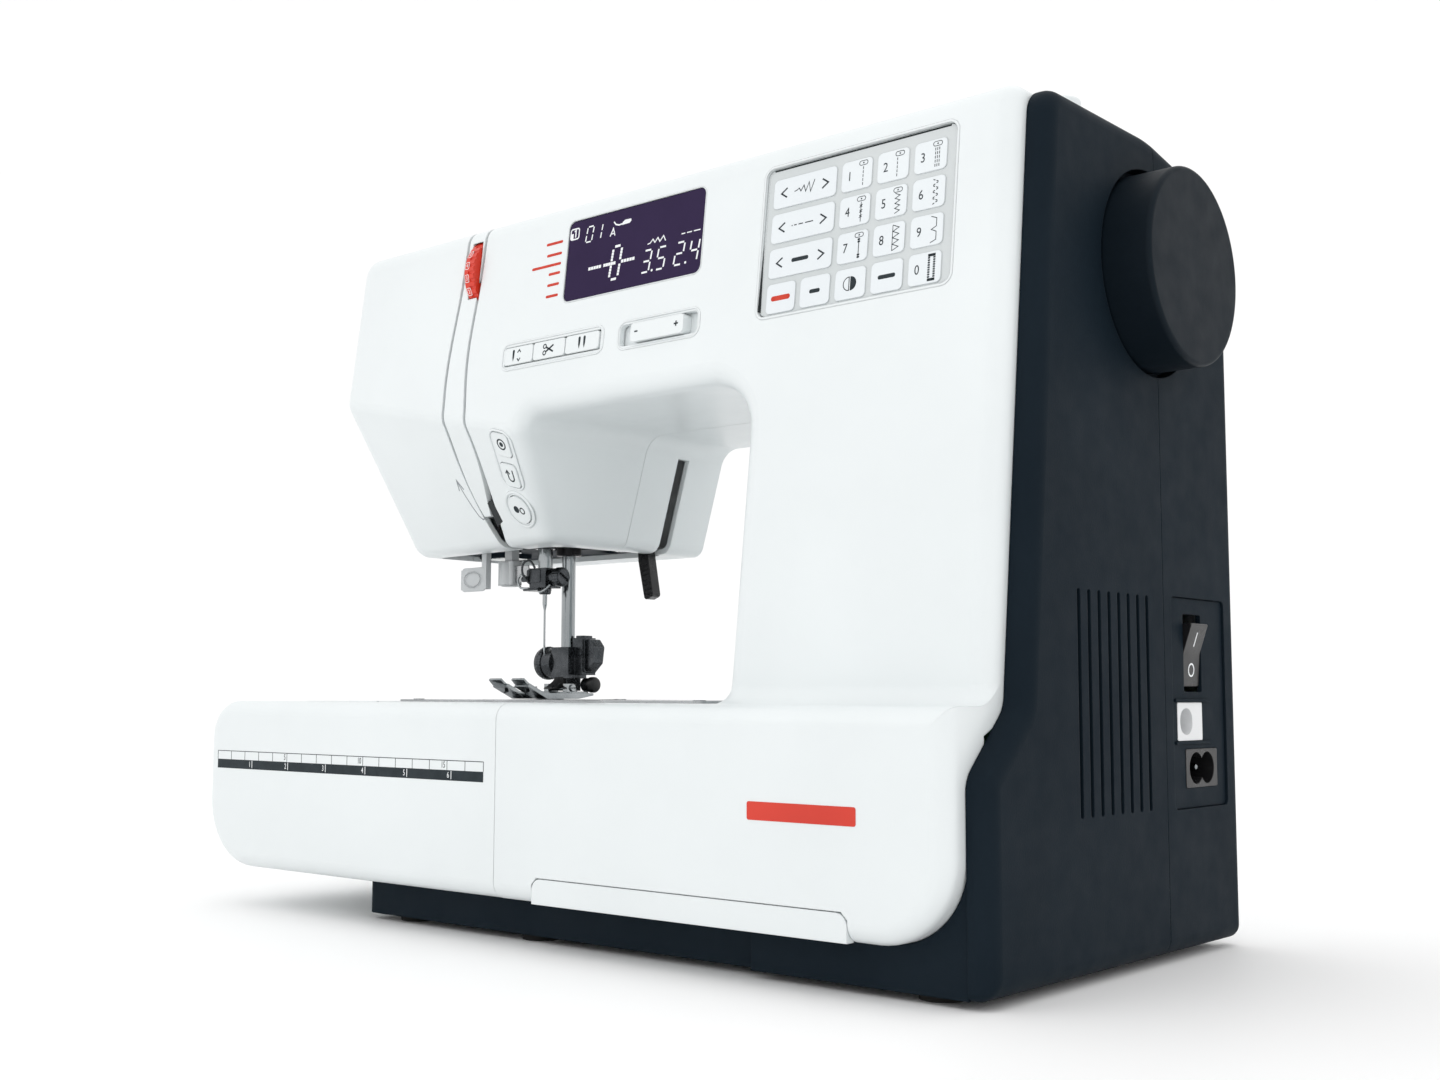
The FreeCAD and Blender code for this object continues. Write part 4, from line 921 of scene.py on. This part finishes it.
def clamp_fittings():
    bm = bmesh.new()
    lathe(bm, (-78.2, NEEDLE_Y, CLAMP_SCREW_Z), RIGHT,
          [(0, -2.0), (3.9, -2.0), (4.1, -1.6), (4.1, 1.0), (3.8, 1.5), (3.4, 1.5)], 72, 0.08, 24)
    screw_head(bm, (-78.0, NEEDLE_Y, CLAMP_SCREW_Z), RIGHT, 3.5, "line", (0, 0.6, 1), 1.6)
    finish_piece("clamp_screw", bm, DARK_METAL, "needle_assembly", "dark_metal")
    bm = bmesh.new()
    solid_on(bm, (-90.5, NEEDLE_Y, 133.0), UP, BACK, [rounded(-7.5, 2.5, -4.4, 4.6, 1.4, 4)], 1.0, 0.15)
    solid_on(bm, (-93.6, -2.8, 137.9), FRONT, UP, [rounded(-1.0, 7.5, -2.6, 3.2, 0.8, 4)], 1.0, 0.15)
    lathe(bm, (NEEDLE_X, NEEDLE_Y, 130.4), UP, [(0, 0), (2.2, 0), (2.6, 0.5), (2.6, 2.4), (0, 2.4)], 32)
    finish_piece("clamp_guide_plate", bm, DARK_METAL, "needle_assembly", "dark_metal")
    wires = (
        ("left", 0.5, CHROME, "chrome", [
            (-94.5, -1.5, 133.1), (-98.2, -2.2, 132.9), (-99.6, -3.0, 134.7), (-98.6, -4.0, 137.7),
            (-96.4, -3.8, 139.3), (-95.0, -2.8, 137.9)]),
        ("top", 0.5, DARK_METAL, "dark_metal", [
            (-92.8, -2.4, 135.0), (-94.6, -4.6, 137.5), (-95.0, -5.4, 141.9), (-93.2, -5.0, 144.9),
            (-90.6, -3.4, 144.7), (-89.8, -2.4, 141.5)]),
        ("low", 0.45, CHROME, "chrome", [
            (-87.0, -1.8, 133.5), (-86.6, -3.6, 131.7), (-84.4, -4.2, 130.9), (-82.0, -3.4, 131.9),
            (-81.4, -1.6, 134.1)]),
    )
    for side, radius, finish, slot, points in wires:
        swept_wire("clamp_wire_" + side, points, radius, finish, "needle_assembly", slot)


def presser_fittings():
    bm = bmesh.new()
    lathe(bm, (NEEDLE_X, PRESSER_Y, 93.0), UP, [(0, 0), (3.25, 0), (3.25, 1.0), (3.05, 1.2), (3.05, 2.0)], 32)
    screw_head(bm, (-84.9, 14.4, 103.0), (1, -0.4, 0), 1.7, "line", UP, 0.8)
    finish_piece("shank_screw", bm, CHROME, "presser", "chrome")
    bm = bmesh.new()
    lathe(bm, (-98.4, PRESSER_Y, THUMB_Z), LEFT,
          [(0, 0), (7.0, 0), (7.2, 0.4), (7.2, 2.8), (6.9, 3.3), (6.2, 3.5)], 80, 0.1, 34)
    finish_piece("thumb_screw_rim", bm, DARK_METAL, "presser", "dark_metal")
    bm = bmesh.new()
    lathe(bm, (-101.6, PRESSER_Y, THUMB_Z), LEFT,
          [(5.2, 0), (5.4, 0.6), (5.1, 1.2), (4.6, 1.4), (4.3, 1.0), (4.2, 0)], 48)
    lathe(bm, (-104.3, PRESSER_Y, THUMB_Z), LEFT,
          [(4.2, 0), (4.2, 0.3), (3.6, 0.7), (2.0, 0.95), (0, 1.0)], 40)
    finish_piece("thumb_screw_face", bm, CHROME, "presser", "chrome")
    bm = bmesh.new()
    neck = [(16.0, 96.0), (11.6, 96.0), (9.8, 93.4), (6.4, 91.2), (4.6, 90.6), (4.4, 89.9), (8.4, 89.9),
            (10.6, 90.4), (12.0, 91.8), (16.0, 92.2)]
    solid_on(bm, (-85.2, 0.0, 0.0), RIGHT, UP, [neck], 5.6, 0.35)
    finish_piece("shank_neck", bm, BLACK, "presser", "black")
    bm = bmesh.new()
    solid_on(bm, (-77.4, 19.0, 104.2), RIGHT, UP,
             [rounded(-3.4, 3.6, -7.0, 7.2, 0.9, 4), circle(0.6, -2.2, 0.7, 16)], 0.8, 0.15)
    solid_on(bm, (-81.0, 14.6, 105.2), FRONT, UP, [rounded(-2.6, 2.6, -1.0, 1.2, 0.4, 4)], 0.8, 0.15)
    solid_on(bm, (-81.0, 19.0, 113.0), UP, BACK, [rounded(-2.4, 2.4, -3.0, 3.0, 0.8, 4)], 1.4, 0.25)
    finish_piece("release_plate", bm, DARK_METAL, "presser", "dark_metal")
    bm = bmesh.new()
    lathe(bm, (-77.2, 21.0, 91.8), RIGHT,
          [(3.2, -1.5), (3.4, -1.2), (3.4, 0.8), (3.0, 1.5), (1.8, 1.9), (0, 2.0)], 40)
    finish_piece("release_button", bm, BLACK, "presser", "black")
    bm = bmesh.new()
    lathe(bm, (NEEDLE_X, PRESSER_Y, 147.6), UP, [(3.1, 0), (5.0, 0), (5.4, 0.4), (5.4, 4.8), (3.1, 4.8)], 40)
    finish_piece("presser_bush", bm, BLACK, "body", "black")
    bm = bmesh.new()
    lathe(bm, (NEEDLE_X, NEEDLE_Y, 149.8), UP, [(3.3, 0), (4.2, 0), (4.5, 0.3), (4.5, 3.0), (3.3, 3.0)], 36)
    finish_piece("needle_bush", bm, DARK_METAL, "needle_frame", "cast")


def foot_fittings():
    bm = bmesh.new()
    for x, way in ((-95.9, LEFT), (-80.8, RIGHT)):
        screw_head(bm, (x, 12.0, 90.4), way, 1.5, "line", UP, 0.8)
    for x0, x1 in ((-98.4, -91.2), (-84.8, -77.6)):
        half = (x1 - x0) / 2
        solid_on(bm, ((x0 + x1) / 2, 13.5, 88.9), UP, BACK,
                 [rounded(-half, half, -5.5, 5.5, 0.9, 4)], 0.9, 0.2)
    finish_piece("foot_pins", bm, CHROME, "foot", "chrome")
    bm = bmesh.new()
    toe = [(-5.0, 87.4), (-9.5, 88.1), (-14.0, 89.5), (-17.6, 91.7), (-19.6, 93.6), (-18.9, 94.3),
           (-17.0, 92.8), (-13.6, 90.7), (-9.2, 89.1), (-5.0, 88.5)]
    for x in (-91.3, -77.2):
        solid_on(bm, (x, 0.0, 0.0), RIGHT, UP, [toe], 7.6, 0.22)
    finish_piece("foot_toes", bm, CHROME, "foot", "chrome")
    bm = bmesh.new()
    for x in (-94.6, -81.4):
        solid_on(bm, (x, -11.5, TOE_TOP + 0.35), (0, -0.41, 1), (0, 1, 0.41),
                 [rounded(-1.0, 1.0, -3.4, 3.4, 0.95, 5)], 0.35, 0.1)
    finish_piece("toe_marks", bm, DARK_METAL, "foot", "dark_metal")


def head_fittings():
    bm = bmesh.new()
    for x, y, r in ((-112.0, 6.5, 2.6), (-70.0, 30.0, 2.4), (-146.0, 40.0, 2.4)):
        screw_head(bm, (x, y, 151.2), DOWN, r, "cross", BACK, 1.4)
    finish_piece("head_screws", bm, CHROME, "body", "chrome")
    bm = bmesh.new()
    for k in range(6):
        solid_on(bm, (-143.3 + 2.9 * k, 22.0, 149.2), DOWN, BACK,
                 [rounded(-1.2, 1.2, -6.6, 6.6, 1.0, 5)], 0.7, 0.25)
    finish_piece("lamp_lens", bm, lamp_lens(), "body", "clear")
    bm = bmesh.new()
    solid_on(bm, (-125.7, -6.05, 138.0), FRONT, UP, [rounded(-7.9, 7.9, -5.3, 5.3, 1.8, 6)], 0.7, 0.3)
    finish_piece("buttonhole_face", bm, PALE, "buttonhole", "pale_grey")

    def lever_face(u, v):
        return point(u, -6.75, v), Vector(FRONT)
    turns = [math.radians(12 * k) for k in range(30)]
    ring = [(-125.9 + 5.4 * math.cos(a), 138.0 + 3.3 * math.sin(a)) for a in turns]
    finish_piece("buttonhole_ring", bead(lever_face, ring, 0.5, 0.16), PALE, "buttonhole", "pale_grey")
    bm = bmesh.new()
    lathe(bm, (-109.3, 0.9, 135.0), UP,
          [(0, -0.4), (3.6, -0.4), (4.4, 0.2), (4.4, 9.6), (3.8, 10.6), (0, 10.6)], 36)
    finish_piece("threader_barrel", bm, PALE, "threader", "pale_grey")
    bm = bmesh.new()
    solid_on(bm, (-100.6, -0.4, 140.2), FRONT, UP, [rounded(-5.0, 4.6, -4.0, 3.2, 0.9, 4)], 0.7, 0.2)
    finish_piece("threader_plate", bm, PLATE, "threader", "plate_metal")


def lifter_ribs():
    bm = bmesh.new()
    low, high = Vector((-61.1, 0, 129.8)), Vector((-64.8, 0, 146.0))
    way = (high - low).normalized()
    for k in range(7):
        c = low.lerp(high, 0.1 + 0.13 * k)
        c.y = 38.35
        solid_on(bm, c, FRONT, way, [rounded(-1.9, 1.9, -0.35, 0.35, 0.3, 3)], 0.5, 0.12)
    finish_piece("lifter_ribs", bm, BLACK, "lifter", "black")


# ---- bed ----
def over_bed(u, v):
    return Vector((u, v, 85.4))


def bed_marks():
    up = Vector(UP)
    at = on_node("needle_plate", over_bed, up)
    m = Marks(at, FINE_INK)
    for k in range(1, 5):
        for side in (1, -1):
            x = NEEDLE_X + side * 5.0 * k
            m.line([(x, 9.0), (x, 31.5)], 0.22)
    for side in (1, -1):
        m.line([(NEEDLE_X + side * 12.0, -13.5), (NEEDLE_X + side * 22.0, -13.5)], 0.22)
    m.done("seam_lines", PRINT_AND_PAINTED_SHADE, "body", "plate_metal")
    at = on_node("bed_plate", over_bed, up)
    m = Marks(at, FINE_INK)
    for k in range(3):
        x = -58.0 + 8.0 * k
        m.line([(x, -12.0), (x, 26.0)], 0.22)
        m.text(str(3 + k), x, 29.6, 4.2, 0.85)
    m.done("bed_numbers", PRINT_AND_PAINTED_SHADE, "body", "plate_metal")
    bm = bmesh.new()
    for x, y in ((-128.0, 38.5), (32.0, -33.0), (32.0, 38.5), (-128.0, -33.0)):
        screw_head(bm, (x, y, 85.2), UP, 2.4, "line", (0.3, 1, 0), 0.5)
    finish_piece("bed_screws", bm, CHROME, "body", "chrome")
    at = on_node("bobbin_cover", over_bed, up)
    m = Marks(at, FINE_INK)
    m.line([(-88.0, -35.0), (-88.0, -22.0)], 0.3)
    m.line(circle(-88.0, -28.5, 5.0, 16, 200, 140), 0.3)
    m.line([(-90.0, -24.0), (-88.0, -21.6), (-86.0, -24.0)], 0.3)
    m.done("bobbin_cover_marks", INK_WHITE, "slide_cover", "smoke")
    at = on_node("box_lid", lambda u, v: Vector((u, v, 84.4)), up)
    lip = bead(at, [(-112.0, -80.5), (-94.0, -80.5)], 1.4, 0.5, False)
    finish_piece("lid_finger_ridge", lip, WHITE, "lid", "white")


# ---- top ----
def top_fittings():
    bm = bmesh.new()
    lathe(bm, (132.0, 0.0, 281.0), UP, [(3.1, 0), (6.4, 0), (6.6, 0.2), (6.4, 0.5), (3.1, 0.7)], 48)
    for k in range(3):
        a = math.radians(120 * k)
        solid_on(bm, (132.0 + 3.2 * math.cos(a), 3.2 * math.sin(a), 288.4), (math.cos(a), math.sin(a), 0), UP,
                 [rounded(-0.5, 0.5, -5.4, 0.2, 0.3, 3)], 0.5, 0.1)
    finish_piece("winder_springs", bm, CHROME, "winder", "chrome")
    bm = bmesh.new()
    guide = [(0, 0), (4.6, 0), (4.6, 0.8), (3.4, 1.2), (1.9, 1.8), (1.9, 3.4), (4.4, 4.1), (4.6, 4.6),
             (3.8, 5.3), (1.4, 5.7), (0, 5.8)]
    lathe(bm, (-112.0, 34.0, 278.7), UP, guide, 44)
    finish_piece("winding_guide", bm, CHROME, "body", "chrome")
    bm = bmesh.new()
    solid_on(bm, (31.0, 48.0, 279.9), UP, BACK, [rounded(-26.0, 26.0, -3.2, 3.2, 1.4, 5)], 0.6, 0.2)
    for k in range(9):
        solid_on(bm, (11.0 + 5.0 * k, 48.0, 280.25), UP, BACK,
                 [rounded(-0.8, 0.8, -2.6, 2.6, 0.7, 4)], 0.6, 0.18)
    finish_piece("handle_grip", bm, CHARCOAL, "handle", "dark")
    bm = bmesh.new()
    for x in (-44.0, 40.0):
        lathe(bm, (x, -5.0, 277.5), RIGHT,
              [(3.0, 0), (4.2, 0), (4.4, 0.3), (4.4, 1.4), (4.2, 1.7), (3.0, 1.7)], 36)
    finish_piece("spool_pin_rings", bm, BLACK, "body", "black")


# ---- back and underside ----
def back_fittings():
    bm = bmesh.new()
    wells = bmesh.new()
    for x, y, z in ((-140.0, 66.0, 262.0), (-140.0, 66.0, 176.0), (158.0, 86.0, 240.0), (158.0, 86.0, 40.0),
                    (86.0, 86.0, 120.0)):
        solid_on(wells, (x, y + 0.25, z), BACK, UP, [circle(0, 0, 5.2, 36), circle(0, 0, 3.9, 36)], 0.6, 0.12)
        screw_head(bm, (x, y - 0.5, z), BACK, 3.2, "cross", (0.2, 0, 1), 0.9)
    finish_piece("back_screws", bm, CHROME, "body", "chrome")
    finish_piece("back_screw_rings", wells, WHITE, "body", "white")
    bm = bmesh.new()
    for x, y in ((-60.0, 40.0), (-60.0, -40.0), (60.0, 60.0), (60.0, -56.0), (140.0, 0.0), (0.0, 0.0)):
        screw_head(bm, (x, y, 2.6), DOWN, 3.0, "cross", (0.3, 1, 0), 0.8)
    finish_piece("pan_screws", bm, DARK_METAL, "body", "dark_metal")
    bm = bmesh.new()
    for k in range(14):
        solid_on(bm, (70.0 + 5.0 * k, 30.0, 2.2), DOWN, BACK,
                 [rounded(-1.2, 1.2, -18.0, 18.0, 1.1, 5)], 0.5, 0.15)
    finish_piece("pan_louvres", bm, CHARCOAL, "body", "dark")
    bm = bmesh.new()
    for x, y in ((-86.0, -64.0), (-14.0, -66.0), (158.0, -68.0), (158.0, 70.0), (-86.0, 68.0)):
        lathe(bm, (x, y, 0.0), UP,
              [(4.2, 0.6), (4.4, 0.05), (6.2, 0.05), (6.9, 0.5), (7.15, 1.2), (7.15, 2.6)], 48)
    finish_piece("foot_treads", bm, FINISHES["rubber"], "body", "rubber")


def wheel_detail():
    bm = bmesh.new()
    lathe(bm, (197.0, 27.5, 230.0), RIGHT, [(31.2, 0.3), (31.6, 0.98), (31.9, 0.98), (32.3, 0.3)], 96)
    finish_piece("handwheel_edge", bm, WHEEL_PAINTED_SHADE, "shaft", "dark")


# ---- studio, in metres ----
VIEW_TURN = 0.712
VIEW_TILT = 0.096
VIEW_ROLL = -0.003


def plain(name, colour, rough):
    lighter = tuple(min(1.0, c * 1.01) for c in colour)
    return surface(name, colour, lighter, rough, 0.03, specular=0.2, blotch=2.0, grain=200, grain_mm=0.02,
                   edge=0.0)[0]


def studio():
    bm = bmesh.new()
    depth, rise, radius, steps, half = 7.0, 6.0, 2.5, 16, 14.0
    profile = [(-6.0, 0.0), (depth - radius, 0.0)]
    for k in range(1, steps + 1):
        a = math.radians(90.0 * k / steps)
        profile.append((depth - radius + radius * math.sin(a), radius - radius * math.cos(a)))
    profile.append((depth, rise))
    turn = Matrix.Rotation(VIEW_TURN, 3, "Z")
    rows = [[bm.verts.new(turn @ Vector((x, y, z))) for x in (-half, half)] for y, z in profile]
    for a, b in zip(rows, rows[1:]):
        bm.faces.new((a[0], a[1], b[1], b[0]))
    mesh = bpy.data.meshes.new("floor")
    bm.to_mesh(mesh)
    bm.free()
    for face in mesh.polygons:
        face.use_smooth = True
    mesh.materials.append(plain("floor_white", (0.96, 0.96, 0.96), 0.6))
    floor = bpy.data.objects.new("floor", mesh)
    bpy.context.scene.collection.objects.link(floor)
    world = bpy.data.worlds.new("studio")
    bpy.context.scene.world = world
    world.use_nodes = True
    back = world.node_tree.nodes["Background"]
    back.inputs["Color"].default_value = (1.0, 1.0, 1.0, 1.0)
    back.inputs["Strength"].default_value = 1.06
    softbox("key", (-0.9, -1.7, 1.5), 1.4, 2.6)
    softbox("fill", (1.9, -0.9, 0.9), 1.1, 0.5)
    softbox("top", (0.1, 0.3, 1.9), 1.6, 1.6)
    sun = bpy.data.lights.new("sky", "SUN")
    sun.energy = 0.12
    sun.angle = math.radians(80)
    lamp = bpy.data.objects.new("sky", sun)
    bpy.context.scene.collection.objects.link(lamp)


def softbox(name, place, size, power):
    data = bpy.data.lights.new(name, "AREA")
    data.shape = "SQUARE"
    data.size = size
    data.energy = power
    obj = bpy.data.objects.new(name, data)
    obj.location = place
    obj.rotation_euler = (Vector((0.0, 0.0, 0.12)) - Vector(place)).to_track_quat("-Z", "Y").to_euler()
    bpy.context.scene.collection.objects.link(obj)


def camera():
    data = bpy.data.cameras.new("camera")
    data.lens = 40.29
    data.sensor_width = 36.0
    data.clip_start = 0.01
    data.clip_end = 100.0
    obj = bpy.data.objects.new("camera", data)
    obj.location = (0.4214, -0.4728, 0.0875)
    obj.rotation_euler = (math.pi / 2 + VIEW_TILT, VIEW_ROLL, VIEW_TURN)
    bpy.context.scene.collection.objects.link(obj)
    bpy.context.scene.camera = obj


bpy.context.scene.view_settings.view_transform = "Standard"
dress_nodes()
display()
keypad()
function_buttons()
slope_buttons()
dial_marks()
rule()
accent_bar()
side_marks()
clamp_fittings()
presser_fittings()
foot_fittings()
head_fittings()
lifter_ribs()
bed_marks()
top_fittings()
back_fittings()
wheel_detail()
studio()
camera()
